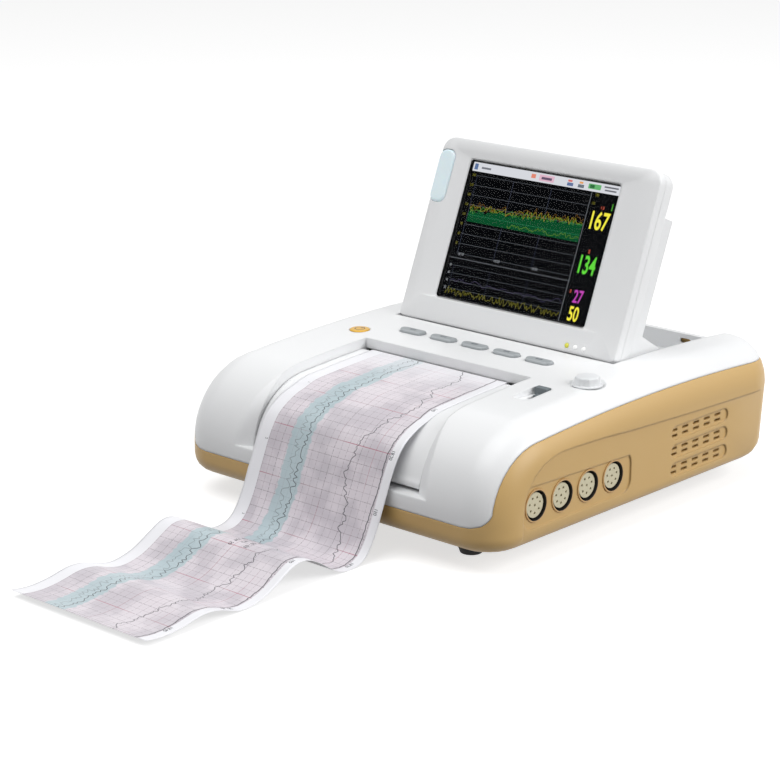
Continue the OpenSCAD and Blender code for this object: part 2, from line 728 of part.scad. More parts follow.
// Strip of chart paper: up between thermal head and platen, over the door, down in front of
// the body and along the table in slack waves
function over_door() =
    let (r = nose_r - door_drop + paper_gap, c = crown_r - door_drop + paper_gap)
    concat([for (y = [slot_y - 7:-14:nose_y]) [y, crown_z + sqrt(c * c - pow(y - crest_y, 2))]],
        arc([nose_y, nose_z], r, 90 + blend_a, 112, 4));
function strip_path() = concat(
    [[platen_y + platen_r + 0.25, platen_z - 3], [platen_y + platen_r + 0.25, platen_z + 3],
        [slot_y - 1.6, skin_z(slot_y) - door_drop - 2.2], [slot_y - 2.6, skin_z(slot_y) - door_drop + 0.25]],
    over_door(), [for (p = hanging) [p[0] - half_d, p[1] + (body_h - hang_h) * min(1, p[1] / 55)]]);
// The strip in front of the door, measured from the casing's front, for a crest of height hang_h
hang_h = 86.5;
hanging = [
    [27, 70.6], [20.5, 67.9], [15, 64.8], [10.7, 61.6], [6.5, 56.6], [2.9, 50.6], [-0.2, 44],
    [-3.4, 36.5], [-6.4, 29.5], [-9.2, 22.7], [-13.1, 14.6], [-17.5, 7.6], [-21.9, 3.2], [-27.5, 0.8],
    [-34.3, 0.35], [-40.5, 1.3], [-48, 5], [-55.5, 10], [-63, 14], [-69.5, 15.8], [-75.5, 15.4],
    [-81.5, 12.9], [-88.5, 9], [-97.5, 4.4], [-106.5, 1.8], [-115.5, 1], [-123.5, 2.6], [-131.5, 5.2],
    [-139.5, 6.6], [-147.5, 6.2], [-155.5, 4.6], [-165.5, 3.2], [-175.5, 3], [-185, 4.2]];
function side_of(p, i, t) =
    let (a = p[max(i - 1, 0)], b = p[min(i + 1, len(p) - 1)], d = (b - a) / norm(b - a))
    p[i] + t / 2 * [d[1], -d[0]];
function ribbon(p, t) =
    concat([for (i = [0:len(p) - 1]) side_of(p, i, t)], [for (i = [len(p) - 1:-1:0]) side_of(p, i, -t)]);
module paper_strip() {
    color("#ead9e8") across(paper_w, paper_x) polygon(ribbon(strip_path(), paper_t));
}

module printer_frame() {
    h = platen_z - 10.5 - tray_z;
    y = slot_y - 25;
    color("silver") difference() {
        union() {
            for (m = [-1, 1]) {
                translate([m * (frame_x + frame_t / 2) - frame_t / 2, y, tray_z]) cube([frame_t, 34, h]);
                translate([m * (frame_x + 5.2) - 5, y, tray_z]) cube([10, 34, 1.5]);
            }
            translate([-frame_x - 1, y + 32, tray_z + 12]) cube([2 * frame_x + 2, frame_t, h - 12]);
            translate([-50, y + 32, tray_z + h - 2]) cube([90, frame_t, 14.5]);
        }
        translate([0, idler_y, idler_z]) rotate([0, 90, 0]) cylinder(r = 1.55, h = 100);
        translate([50, pinion_y, pinion_z]) rotate([0, 90, 0]) cylinder(r = 3.6, h = 20);
        frame_feet() cylinder(d = 3.2, h = 60);
    }
}
module frame_screws() {
    color("silver") frame_feet() {
        translate([0, 0, tray_z + 1.55]) cylinder(d = 5, h = 2);
        translate([0, 0, floor_z + 2]) cylinder(d = 2.4, h = tray_z - floor_z);
    }
}
module print_head() {
    w = paper_w + 2;
    color("darkgray") translate([paper_x - w / 2, slot_y + 0.6, platen_z - 13]) difference() {
        cube([w, 3.4, 20]);
        for (z = [2.5:3:9]) translate([-1, 2.2, z]) cube([w + 2, 3, 1.5]);
    }
    color("#3a2c22") translate([paper_x - w / 2, slot_y - 0.55, platen_z - 5]) cube([w, 1.2, 11.5]);
}
module print_head_springs() {
    color("silver") for (x = [-40, -4, 32]) translate([x, slot_y + 4.4, platen_z - 1.5]) rotate([-90, 0, 0])
        coil(2.4, 0.3, 2.2, 3);
}
module stepper_motor() {
    color("gray") translate([frame_x + frame_t + 0.02, pinion_y, pinion_z]) rotate([0, 90, 0]) {
        cylinder(d = 20, h = 15);
        translate([0, 0, -frame_t]) cylinder(r = 3.5, h = frame_t + 0.1);
        translate([0, 0, -7.3]) cylinder(d = 2, h = 8);
    }
}

// Spur gear with involute flanks: its teeth are thinned for backlash
function involute(rb, t) = rb * [cos(t) + t * PI / 180 * sin(t), sin(t) - t * PI / 180 * cos(t)];
function turn(p, a) = [p[0] * cos(a) - p[1] * sin(a), p[0] * sin(a) + p[1] * cos(a)];
module gear_outline(teeth, backlash = 0.16) {
    rp = gear_m * teeth / 2;
    rb = rp * cos(20);
    ra = rp + gear_m * 0.95;
    rf = rp - gear_m * 1.2;
    tp = sqrt(pow(rp / rb, 2) - 1) * 180 / PI;
    ta = sqrt(pow(ra / rb, 2) - 1) * 180 / PI;
    root = 90 / teeth - backlash / rp * 90 / PI + tp - atan(tp * PI / 180);
    flank = [for (i = [0:4]) turn(involute(rb, ta * i / 4), -root)];
    circle(rf + 0.02, $fn = 64);
    for (k = [0:teeth - 1]) rotate(k * 360 / teeth) polygon(concat(
        [(rf - 0.4) * [cos(root), -sin(root)]], flank, [for (i = [4:-1:0]) [flank[i][0], -flank[i][1]]],
        [(rf - 0.4) * [cos(root), sin(root)]]));
}
module gear(teeth, y, z, bore, phase) {
    translate([train_x, y, z]) rotate([90, 0, 90]) linear_extrude(gear_w) difference() {
        rotate(phase) gear_outline(teeth);
        circle(d = bore);
    }
}
idler_phase = idler_a + 180 + 180 / teeth_idler;
pinion_phase = pinion_a + 180 + 180 / teeth_pinion + (pinion_a - idler_phase) * teeth_idler / teeth_pinion;
module platen_gear() color("ivory") gear(teeth_platen, platen_y, platen_z, 4.02, idler_a);
module idler_gear() {
    color("ivory") gear(teeth_idler, idler_y, idler_z, 3.02, idler_phase);
    color("silver") translate([train_x + 0.02, idler_y, idler_z]) rotate([0, 90, 0])
        cylinder(r = 1.5, h = frame_x + frame_t - train_x);
}
module motor_pinion() color("goldenrod") gear(teeth_pinion, pinion_y, pinion_z, 2.06, pinion_phase);
module platen_roller() {
    color("#303236") translate([paper_x - paper_w / 2 - 1, platen_y, platen_z]) rotate([0, 90, 0]) difference() {
        cylinder(r = platen_r, h = paper_w + 2, $fn = 64);
        translate([0, 0, -1]) cylinder(r = 2, h = paper_w + 4);
    }
    color("silver") translate([-frame_x - 2.4, platen_y, platen_z]) rotate([0, 90, 0])
        cylinder(r = 2, h = 2 * frame_x + 4.8);
}
module platen_bushes() {
    color("white") for (m = [-1, 1]) translate([m * (arm_x - 1.8), platen_y, platen_z]) rotate([0, m * 90, 0])
        tube(bush_r, 2.04, 3);
}

// The door: a skin that follows the crown and the nose, two side arms for the platen's
// bushes, and knuckles at its front edge
module door_band(a, b) {
    intersection() {
        difference() {
            under_arch(a);
            under_arch(b);
        }
        translate([-half_d, door_z]) square([half_d + slot_y - 4, body_h]);
    }
}
module paper_door() {
    color("whitesmoke") difference() {
        union() {
            across(door_w) door_band(door_drop, door_drop + door_t);
            for (m = [-1, 1]) across(frame_t, m * arm_x) intersection() {
                door_band(door_drop + 1, door_drop + 17);
                union() {
                    translate([-half_d, platen_z - 7]) square([half_d, 40]);
                    translate([-half_d, 0]) square([half_d - 66, 95]);
                }
            }
            for (m = [-1, 1]) across(frame_t, m * arm_x) translate([platen_y, platen_z]) circle(bush_r + 1.8);
            across(door_w) translate([door_y, door_z]) circle(door_r);
        }
        translate([-100, platen_y, platen_z]) rotate([0, 90, 0]) cylinder(r = bush_r, h = 200);
        translate([-100, door_y, door_z]) rotate([0, 90, 0]) cylinder(r = 1.5, h = 200);
    }
}
module door_pins() {
    color("silver") for (m = [-1, 1]) translate([m * (door_w / 2 - 8), door_y, door_z]) rotate([0, m * 90, 0])
        cylinder(r = 1.5, h = 8 + door_gap + 2);
}
module door_latch() {
    color("#8f9498") {
        translate([latch_x - 4.4, latch_y + 2, skin_z(latch_y) - 3.4]) cube([8.8, 4.4, 4.2]);
        translate([latch_x - 2, latch_y - 2, latch_bar_z + 0.2])
            cube([4, 6, skin_z(latch_y) - 3 - latch_bar_z]);
        translate([chan - 0.3, latch_y - 2, latch_bar_z]) cube([latch_x - chan, 4, 2.6]);
    }
}
module latch_spring() {
    color("silver") translate([latch_x, latch_y - 2.4, latch_bar_z + 1.3]) rotate([90, 0, 0]) coil(1.5, 0.25, 9, 5);
}

// Display head, drawn flat: X across, Y up the face, Z out of the face
module head_outline(inset) {
    w = head_w - 2 * inset;
    translate([0, head_h / 2]) rounded(w, head_h - 2 * inset, 9 - inset);
    translate([0, head_h / 4]) rounded(w, head_h / 2 - 2 * inset, 3.5 - inset);
}
module slab(from, to, inset) { translate([0, 0, -to]) linear_extrude(to - from) head_outline(inset); }
module head_bezel() {
    lcd_c = lcd_u + lcd_h / 2;
    color("whitesmoke") in_head() difference() {
        union() {
            difference() {
                hull($fn = 32) {
                    slab(0, 0.3, 1.6);
                    slab(0.5, 0.8, 0.5);
                    slab(1.8, split_n, 0);
                }
                translate([0, 0, -split_n - 0.5]) linear_extrude(split_n - 1.6) head_outline(2.5);
            }
            head_bosses() translate([0, 0, -split_n]) cylinder(d = 6, h = split_n - 1.5);
        }
        hull($fn = 24) {
            translate([lcd_x + 0.6, lcd_c + 1.8, 0.1]) linear_extrude(0.1) rounded(lcd_w + 31, lcd_h + 8, 3);
            translate([lcd_x, lcd_c, -2]) linear_extrude(0.1) rounded(lcd_w + 3, lcd_h + 3, 2.5);
        }
        translate([lcd_x, lcd_c, -8]) linear_extrude(9) rounded(lcd_w + 2, lcd_h + 2, 2);
        for (i = [0:2]) translate([48.8 + i * 6.4, 4.7, -8]) cylinder(d = 3.1, h = 12);
        lens_shape(0.15);
        head_bosses() translate([0, 0, -split_n - 1]) cylinder(d = 2, h = split_n - 1.6);
    }
}
screw_rows = [[33, bulge_n], [head_h - 9, head_t]];
module head_bosses() { for (x = [-1, 1], p = screw_rows) translate([x * (head_w / 2 - 9), p[0], 0]) children(); }
module lens_shape(g) {
    translate([-head_w / 2 + 6, 92, -9.2 - g]) linear_extrude(9.8 + 2 * g) rounded(12.6 + 2 * g, 34 + 2 * g, 5);
}
// Side view of the rear cover: u along X, depth along Y. The leg is a sector about the hinge.
module head_section(g) {
    translate([4 + g, head_t - 3]) square([bulge_u - 4 - 2 * g, bulge_n - g - head_t + 3]);
    intersection() {
        translate([pin_u, pin_n]) circle(leg_r - g, $fn = 96);
        polygon([[g - 6.5, head_t - 3], [22.9 - g, head_t - 3], [17.6 - g, 44], [17.6 - g, 60], [g - 6.5, 60]]);
    }
}
// A side-view profile of the head (u, depth) carried across the head
module across_head(w, x = 0) {
    translate([x - w / 2, 0, 0]) rotate([90, 0, 90]) mirror([0, 1, 0]) linear_extrude(w) children();
}
module head_back() {
    color("whitesmoke") in_head() difference() {
        union() {
            difference() {
                union() {
                    hull($fn = 32) {
                        slab(split_n + 0.04, head_t - 1.8, 0);
                        slab(head_t - 0.9, head_t - 0.5, 0.6);
                        slab(head_t - 0.3, head_t, 1.8);
                    }
                    across_head(leg_w) head_section(0);
                }
                translate([0, 0, -head_t + 2.5]) linear_extrude(head_t) head_outline(2.5);
                across_head(leg_w - 5) head_section(2.5);
            }
            for (m = [-1, 1]) across_head(14, m * (head_w / 2 - 8)) difference() {
                translate([pin_u, pin_n]) circle(barrel_r);
                translate([-0.05, -5]) square([20, split_n + 5.05]);
            }
            for (x = [-1, 1], p = screw_rows) translate([x * (head_w / 2 - 9), p[0], 1 - p[1]])
                cylinder(d = 8, h = p[1] - split_n - 1.05);
            for (m = [-1, 1]) across_head(7, m * catch_x) polygon([[head_h - 9, head_t - 1], [head_h - 9, head_t + 3],
                [head_h - 8, head_t + 5], [head_h - 6.4, head_t + 4.6], [head_h - 6.4, head_t - 1]]);
        }
        for (m = [-1, 1]) across_head(20, m * (head_w / 2 - 8)) translate([pin_u, pin_n]) circle(pin_r);
        head_bosses() {
            translate([0, 0, -bulge_n - 1]) cylinder(d = 5, h = bulge_n - head_t + 3.4);
            translate([0, 0, -head_t]) cylinder(d = 2.6, h = 12);
        }
        lens_shape(0.15);
    }
}
module lcd_panel() {
    color("#15181a") in_head() translate([lcd_x, lcd_u + lcd_h / 2, -9.4]) linear_extrude(5)
        square([lcd_w + 9, lcd_h + 9], center = true);
}
module lcd_window() {
    color("#0c0f10") in_head() translate([lcd_x, lcd_u + lcd_h / 2, -4.35]) linear_extrude(2.2)
        rounded(lcd_w + 1.8, lcd_h + 1.8, 2);
}
module display_board() {
    color("darkgreen") in_head() translate([0, head_h / 2, -11.9]) linear_extrude(1.6)
        square([head_w - 32, head_h - 8], center = true);
}
module alarm_lens() {
    color("lightblue") in_head() difference() {
        lens_shape(0);
        translate([-head_w / 2 + 1, 70, -12]) cube([20, 50, 10]);
    }
}
module status_leds() {
    for (i = [0:2]) color(i == 0 ? "yellowgreen" : "white") in_head() translate([48.8 + i * 6.4, 4.7, -5]) {
        cylinder(d = 3, h = 5);
        translate([0, 0, 5]) cylinder(d1 = 3, d2 = 1.8, h = 0.4);
    }
}
module hinge_pins() {
    color("silver") for (m = [-1, 1]) translate([m * (head_w / 2 - 15), pin_y, pin_z]) rotate([0, m * 90, 0])
        cylinder(r = pin_r, h = 22);
}
module head_screws() {
    color("silver") in_head() head_bosses() {
        translate([0, 0, -head_t + 0.4]) cylinder(d = 4.6, h = 1.9);
        translate([0, 0, -head_t + 0.4]) cylinder(d = 2, h = 10);
    }
}

bottom_case();
top_case();
feet();
case_screws();
socket(0);  // socket_1
socket(1);  // socket_2
socket(2);  // socket_3
socket(3);  // socket_4
socket_inserts();
socket_board();
main_board();
power_supply();
battery_pack();
speaker();
mains_inlet();
data_ports();
ground_stud();
key_board();
key(1);  // key_1
key(2);  // key_2
key(3);  // key_3
key(4);  // key_4
key(5);  // key_5
power_key();
encoder();
encoder_plunger();
encoder_shaft();
knob();
paper_tray();
paper_pack();
paper_strip();
printer_frame();
frame_screws();
print_head();
print_head_springs();
stepper_motor();
motor_pinion();
idler_gear();
platen_gear();
platen_roller();
platen_bushes();
paper_door();
door_pins();
door_latch();
latch_spring();
head_bezel();
head_back();
lcd_panel();
lcd_window();
display_board();
alarm_lens();
status_leds();
hinge_pins();
head_screws();
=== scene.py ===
"""Portable fetal monitor with a folding display and a chart recorder, built around its CAD frame."""

import math

import bpy
import numpy as np
from mathutils import Matrix


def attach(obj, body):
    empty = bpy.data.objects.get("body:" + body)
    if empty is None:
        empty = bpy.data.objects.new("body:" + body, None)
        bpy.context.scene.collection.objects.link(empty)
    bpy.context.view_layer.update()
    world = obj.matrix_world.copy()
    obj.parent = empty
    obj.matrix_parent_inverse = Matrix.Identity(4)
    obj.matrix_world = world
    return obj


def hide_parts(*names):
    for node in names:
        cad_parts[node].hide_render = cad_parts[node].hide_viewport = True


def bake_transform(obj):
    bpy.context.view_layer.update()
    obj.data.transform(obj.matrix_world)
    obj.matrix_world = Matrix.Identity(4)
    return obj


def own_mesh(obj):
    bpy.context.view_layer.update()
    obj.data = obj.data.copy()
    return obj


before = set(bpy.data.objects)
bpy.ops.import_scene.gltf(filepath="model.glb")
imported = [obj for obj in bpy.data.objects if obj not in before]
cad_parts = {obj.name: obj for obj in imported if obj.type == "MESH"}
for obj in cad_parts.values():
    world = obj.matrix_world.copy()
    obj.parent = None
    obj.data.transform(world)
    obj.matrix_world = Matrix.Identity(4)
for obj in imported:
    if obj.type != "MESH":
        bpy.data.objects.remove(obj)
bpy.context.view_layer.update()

# Camera and room. A long lens looks down at the monitor from its front right. The white
# table keeps the contact shadow, under a plain sky with one broad lamp overhead in front
# and one from the right, as the photograph's grey front and bright side show.
MM = 0.001
CAMERA_AT = (0.92175, -1.10190, 0.47850)
VIEW_AZIMUTH, VIEW_HEIGHT, VIEW_ROLL = (math.radians(a) for a in (42.24, 16.40, 0.07))
FOCAL_PX, PICTURE_PX, SENSOR, FAR = 2457.9, 781, 36, 20
TABLE_SIZE = 12
SKY, BOUNCE, TABLE_WHITE, TABLE_GLOW = 0.30, 0.22, 0.6, 0.67


def look(azimuth, elevation, roll):
    """Rotation whose columns are a camera's right, up and back directions."""
    right = np.array([math.cos(azimuth), math.sin(azimuth), 0.0])
    level = math.cos(elevation)
    back = np.array([math.sin(azimuth) * level, -math.cos(azimuth) * level, math.sin(elevation)])
    up = np.cross(back, right)
    rolled = right * math.cos(roll) + up * math.sin(roll)
    return np.column_stack([rolled, np.cross(back, rolled), back])


def link(obj):
    """The object, put into the scene."""
    bpy.context.scene.collection.objects.link(obj)
    return obj


def aim_camera():
    """Camera at the photograph's place, with a lens of FOCAL_PX over a picture PICTURE_PX wide."""
    data = bpy.data.cameras.new("camera")
    data.lens = FOCAL_PX * SENSOR / PICTURE_PX
    data.sensor_width = SENSOR
    data.clip_end = FAR
    cam = link(bpy.data.objects.new("camera", data))
    m = np.eye(4)
    m[:3, :3] = look(VIEW_AZIMUTH, VIEW_HEIGHT, VIEW_ROLL)
    m[:3, 3] = CAMERA_AT
    cam.matrix_world = Matrix(m.tolist())
    bpy.context.scene.camera = cam


def lamp(name, at, towards, size, watts):
    """Square area lamp at a place, turned to face another."""
    data = bpy.data.lights.new(name, "AREA")
    data.size = size
    data.energy = watts
    obj = link(bpy.data.objects.new(name, data))
    back = np.array(at, float) - np.array(towards, float)
    back /= np.linalg.norm(back)
    side = np.cross([0, 1, 0.01], back)
    side /= np.linalg.norm(side)
    m = np.eye(4)
    m[:3, 0], m[:3, 1], m[:3, 2], m[:3, 3] = side, np.cross(back, side), back, at
    obj.matrix_world = Matrix(m.tolist())


def linear(r, g, b):
    """Colour picked in sRGB steps of 0 to 255, as linear light."""
    c = np.array([r, g, b], float) / 255
    c = np.where(c < 0.04045, c / 12.92, ((c + 0.055) / 1.055) ** 2.4)
    return (*c.tolist(), 1.0)


def new_material(name, colour, rough, **sockets):
    """Principled material with uniform values on its own sockets."""
    mat = bpy.data.materials.new(name)
    mat.use_nodes = True
    shader = mat.node_tree.nodes["Principled BSDF"]
    shader.inputs["Base Color"].default_value = colour
    shader.inputs["Roughness"].default_value = rough
    for key, value in sockets.items():
        shader.inputs[key.replace("_", " ")].default_value = value
    return mat


def feed(t, inp, value):
    """A node's input takes another node's output, or a plain number or colour."""
    if hasattr(value, "is_linked"):
        t.links.new(value, inp)
    else:
        inp.default_value = value


def calc(t, op, a, b=0.0, c=0.0):
    """One step of arithmetic in a material's node tree."""
    n = t.nodes.new("ShaderNodeMath")
    n.operation = op
    for i, value in enumerate((a, b, c)):
        feed(t, n.inputs[i], value)
    return n.outputs[0]


def seen(t):
    """1 for rays from the camera and those reflected or passed on to it, 0 for light that is gathered."""
    path = t.nodes.new("ShaderNodeLightPath").outputs
    direct = calc(t, "MAXIMUM", path["Is Camera Ray"], path["Is Glossy Ray"])
    return calc(t, "MAXIMUM", direct, path["Is Transmission Ray"])


def lay_table():
    """White table. As seen it glows a little, so that only the contact shadow is under white; as a
    reflector it is grey."""
    bpy.ops.mesh.primitive_plane_add(size=TABLE_SIZE, location=(0, 0, 0))
    floor = bpy.context.object
    floor.name = "table"
    mat = bpy.data.materials.new("table_white")
    mat.use_nodes = True
    t = mat.node_tree
    t.nodes.clear()
    kinds = ("BsdfDiffuse", "BsdfDiffuse", "Emission", "AddShader", "MixShader", "OutputMaterial")
    grey, white, glow, both, mix, out = [t.nodes.new("ShaderNode" + k) for k in kinds]
    grey.inputs["Color"].default_value = (BOUNCE, BOUNCE, BOUNCE, 1)
    white.inputs["Color"].default_value = (TABLE_WHITE, TABLE_WHITE, TABLE_WHITE, 1)
    glow.inputs["Strength"].default_value = TABLE_GLOW
    for source, target in ((white, both.inputs[0]), (glow, both.inputs[1]), (grey, mix.inputs[1]),
                           (both, mix.inputs[2]), (mix, out.inputs[0])):
        t.links.new(source.outputs[0], target)
    t.links.new(seen(t), mix.inputs[0])
    floor.data.materials.append(mat)


def light_room():
    """Pale grey sky that looks white, with the two lamps."""
    world = bpy.data.worlds.new("room")
    bpy.context.scene.world = world
    world.use_nodes = True
    t = world.node_tree
    t.nodes.clear()
    kinds = ("Background", "Background", "MixShader", "OutputWorld")
    sky, white, mix, out = [t.nodes.new("ShaderNode" + k) for k in kinds]
    sky.inputs["Color"].default_value = (1, 1, 1, 1)
    sky.inputs["Strength"].default_value = SKY
    white.inputs["Color"].default_value = (1, 1, 1, 1)
    for source, target in ((sky.outputs[0], mix.inputs[1]), (white.outputs[0], mix.inputs[2]),
                           (seen(t), mix.inputs[0]), (mix.outputs[0], out.inputs[0])):
        t.links.new(source, target)
    lamp("overhead", (-0.25, -0.62, 1.72), (0, 0, 0.05), 1.6, 22)
    lamp("right", (1.55, 0.62, 1.05), (0, 0, 0.08), 1.2, 25)


bpy.context.scene.view_settings.view_transform = "Standard"
aim_camera()
lay_table()
light_room()

# Bottom casing: a beige ABS pan moulded in one piece, with sunk side panels, vents and
# socket pads. Its surface has the fine spark-eroded grain of the mould, and the moulded
# edges are a little soft.
BODY_W, BODY_D, BODY_H = 248.0, 281.0, 86.5
CROWN_R, NOSE_R, SHOULDER_R = 1400.0, 50.0, 24.0
BLEND_ANGLE = math.radians(5)
NOSE = (-BODY_D / 2 + NOSE_R, BODY_H - CROWN_R + (CROWN_R - NOSE_R) * math.cos(BLEND_ANGLE))
CREST = (-BODY_D / 2 + NOSE_R + (CROWN_R - NOSE_R) * math.sin(BLEND_ANGLE), BODY_H - CROWN_R)
BLEND_Y = NOSE[0] - NOSE_R * math.sin(BLEND_ANGLE)
REAR_ROUND, OFF_SKIN = 34, 99
ON_SKIN, ALONG = 0.4, math.radians(14)
GRAIN_DEPTH, CLOUD_SCALE, GLOSS_SWING = 0.0002, 14, 0.08


def listed(items, key, width=3, kind=float):
    """One property of all items of a mesh's list, a row of width values for each."""
    out = np.empty(len(items) * width, kind)
    items.foreach_get(key, out)
    return out.reshape(-1, width)


def arrays(node):
    """Vertices and triangles of a CAD node, merged."""
    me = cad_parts[node].data
    v, f = listed(me.vertices, "co"), listed(me.loops, "vertex_index", 1, int).reshape(-1, 3)
    whole = np.round(v * 1e7).astype(np.int64)
    _, first, back = np.unique(whole, axis=0, return_index=True, return_inverse=True)
    f = back.ravel()[f]
    f = f[(f[:, 0] != f[:, 1]) & (f[:, 1] != f[:, 2]) & (f[:, 0] != f[:, 2])]
    return v[first], f


def put(name, v, f, material, sharp=math.radians(30), uv=None):
    """Mesh object from arrays of vertices in metres and faces of one size; uv has a pair a vertex."""
    f = np.asarray(f)
    me = bpy.data.meshes.new(name)
    me.vertices.add(len(v))
    me.vertices.foreach_set("co", np.asarray(v, float).ravel())
    me.loops.add(f.size)
    me.loops.foreach_set("vertex_index", f.ravel())
    me.polygons.add(len(f))
    me.polygons.foreach_set("loop_start", np.arange(len(f)) * f.shape[1])
    if uv is not None:
        layer = me.uv_layers.new(name="uv")
        layer.data.foreach_set("uv", np.asarray(uv, float)[f.ravel()].ravel())
    me.update()
    me.validate()
    me.shade_smooth()
    if sharp is not None:
        me.set_sharp_from_angle(angle=sharp)
    me.materials.append(material)
    return link(bpy.data.objects.new(name, me))


def skin_normal(p):
    """How far points lie from the casing's formula surface, in mm, and its normals.

    In side view the skin is a crown of radius 1400 that meets a nose of radius 50. Towards each
    side a shoulder of radius 24 turns it into the wall: the distance from the shoulder's centre
    line, measured in the plane of X and the radius of nose or crown, is 24. The last REAR_ROUND mm
    have another form, so points there count as OFF_SKIN.
    """
    x, y, z = (p[:, i] * 1000 for i in range(3))
    crown = y > BLEND_Y
    cy, cz = np.where(crown, CREST[0], NOSE[0]), np.where(crown, CREST[1], NOSE[1])
    big = np.where(crown, CROWN_R, NOSE_R)
    dy, dz = y - cy, np.where(~crown & (z < NOSE[1]), 0, z - cz)
    r = np.hypot(dy, dz)
    a = np.clip(np.abs(x) - (BODY_W / 2 - SHOULDER_R), 0, None) * np.sign(x)
    b = np.clip(r - (big - SHOULDER_R), 0, None)
    d = np.hypot(a, b)
    far = np.maximum(r, 1e-9)
    n = np.column_stack([a, b * dy / far, b * dz / far]) / np.maximum(d, 1e-9)[:, None]
    return np.where(y > BODY_D / 2 - REAR_ROUND, OFF_SKIN, np.abs(d - SHOULDER_R)), n


def follow_skin(obj):
    """Corners that lie on the formula surface take its normal, so that the shading is exact between
    the mesh's points: those within ON_SKIN of it whose face leans less than ALONG from it."""
    me = obj.data
    index = listed(me.loops, "vertex_index", 1, int).ravel()
    corner = listed(me.corner_normals, "vector")
    face = np.repeat(listed(me.polygons, "normal"), 3, axis=0)
    off, want = skin_normal(listed(me.vertices, "co")[index])
    mine = (off < ON_SKIN) & (np.einsum("ij,ij->i", want, face) > math.cos(ALONG))
    corner[mine] = want[mine]
    me.normals_split_custom_set(corner.tolist())


def times(t, a, b):
    """Product of two values, or 1 where both masks are 1."""
    return calc(t, "MULTIPLY", a, b)


def between(t, value, low, high):
    """1 where the value lies between two others."""
    return times(t, calc(t, "GREATER_THAN", value, low), calc(t, "LESS_THAN", value, high))


def boxed(t, u, v, u0, u1, v0, v1):
    """1 inside a rectangle of the UV."""
    return times(t, between(t, u, u0, u1), between(t, v, v0, v1))


def blend_colour(t, share, a, b):
    """Colour a where share is 0 and b where it is 1."""
    n = t.nodes.new("ShaderNodeMix")
    n.data_type = "RGBA"
    feed(t, n.inputs[0], share)
    feed(t, n.inputs[6], a)
    feed(t, n.inputs[7], b)
    return n.outputs[2]


def noise(t, scale, detail=2.0, vector=None, dims="3D", w=None):
    """Smooth noise from 0 to 1 over a place in 3D, or along one value w."""
    n = t.nodes.new("ShaderNodeTexNoise")
    n.noise_dimensions = dims
    n.inputs["Scale"].default_value = scale
    n.inputs["Detail"].default_value = detail
    if vector is not None:
        t.links.new(vector, n.inputs["Vector"])
    if w is not None:
        feed(t, n.inputs["W"], w)
    return n.outputs[0]


def object_place(t):
    """Object coordinates, in metres."""
    return t.nodes.new("ShaderNodeTexCoord").outputs["Object"]


def fed(mat, name, source):
    """The material, with one of its sockets fed by a node's output."""
    mat.node_tree.links.new(source, mat.node_tree.nodes["Principled BSDF"].inputs[name])
    return mat


def shade_of(mat):
    """The output that gives the material its colour so far."""
    return mat.node_tree.nodes["Principled BSDF"].inputs["Base Color"].links[0].from_socket


def clouded(mat, scale, detail, low, high, socket="Base Color"):
    """The material, with a cloud of tone between two colours in one of its sockets."""
    t = mat.node_tree
    return fed(mat, socket, blend_colour(t, noise(t, scale, detail, object_place(t)), low, high))


def roughened(mat, scale, strength):
    """The material with a fine noise as bump, GRAIN_DEPTH deep at a strength of 1, and its bump node."""
    t = mat.node_tree
    bump = t.nodes.new("ShaderNodeBump")
    bump.inputs["Strength"].default_value = strength
    bump.inputs["Distance"].default_value = GRAIN_DEPTH
    t.links.new(noise(t, scale, 3.0, object_place(t)), bump.inputs["Height"])
    return fed(mat, "Normal", bump.outputs[0]), bump


def grained(name, colour, rough, edge=0.5, grain=0.05, tint=0.03, scale=2600, **sockets):
    """Moulded plastic with a fine grain and a faint change of tone and gloss.

    Its edges are soft by a normal that is bevelled over edge mm.
    """
    mat, bump = roughened(new_material(name, colour, rough, **sockets), scale, grain)
    t = mat.node_tree
    broad = noise(t, CLOUD_SCALE, 2.0, object_place(t))
    dark = tuple(c * (1 - tint) for c in colour[:3]) + (1.0,)
    fed(mat, "Base Color", blend_colour(t, broad, dark, colour))
    fed(mat, "Roughness", calc(t, "MULTIPLY_ADD", broad, GLOSS_SWING, rough - GLOSS_SWING / 2))
    if edge:
        soft = t.nodes.new("ShaderNodeBevel")
        soft.samples = 6
        soft.inputs["Radius"].default_value = edge * MM
        t.links.new(soft.outputs[0], bump.inputs["Normal"])
    return mat


def stand_in(node, material, body="base", name=None):
    """A merged copy of a CAD node, shown in its place."""
    v, f = arrays(node)
    obj = put(name or node + "_skin", v, f, material)
    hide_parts(node)
    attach(obj, body)
    return obj


beige = grained("beige_abs", linear(204, 168, 107), 0.42, edge=1.8)
bottom = stand_in("bottom_case", beige)
follow_skin(bottom)

# Top casing: a white ABS shell with two rails beside the paper channel, the key panel and
# the well of the display. It shuts on the bottom casing at the parting line.
white = grained("white_abs", linear(238, 239, 240), 0.34, edge=1.6)
top = stand_in("top_case", white)
follow_skin(top)

# Feet: four black rubber buffers, turned in at the foot and pressed up under the casing
# screws. The moulded rubber is matt with a dusty bloom.
FOOT_X, FOOT_FRONT, FOOT_REAR = 79, -105.5, 106


def turned(profile, at, steps=64, flute=None):
    """Surface of revolution about a vertical line, as vertices in metres and faces.

    Along the profile (radius, height) and round the angle: x = r cos a, y = r sin a, z = h.
    flute(p, a) scales the radius where it is given. Ends on the axis close in a point.
    """
    p = np.asarray(profile, float)
    a = np.linspace(0, 2 * math.pi, steps, endpoint=False)
    scale = np.ones((len(p), steps)) if flute is None else flute(p, a)
    r = p[:, :1] * scale
    z = np.repeat(p[:, 1:2], steps, 1)
    v = np.stack([r * np.cos(a) + at[0], r * np.sin(a) + at[1], z + at[2]], -1).reshape(-1, 3)
    return v * MM, around(len(p), steps)


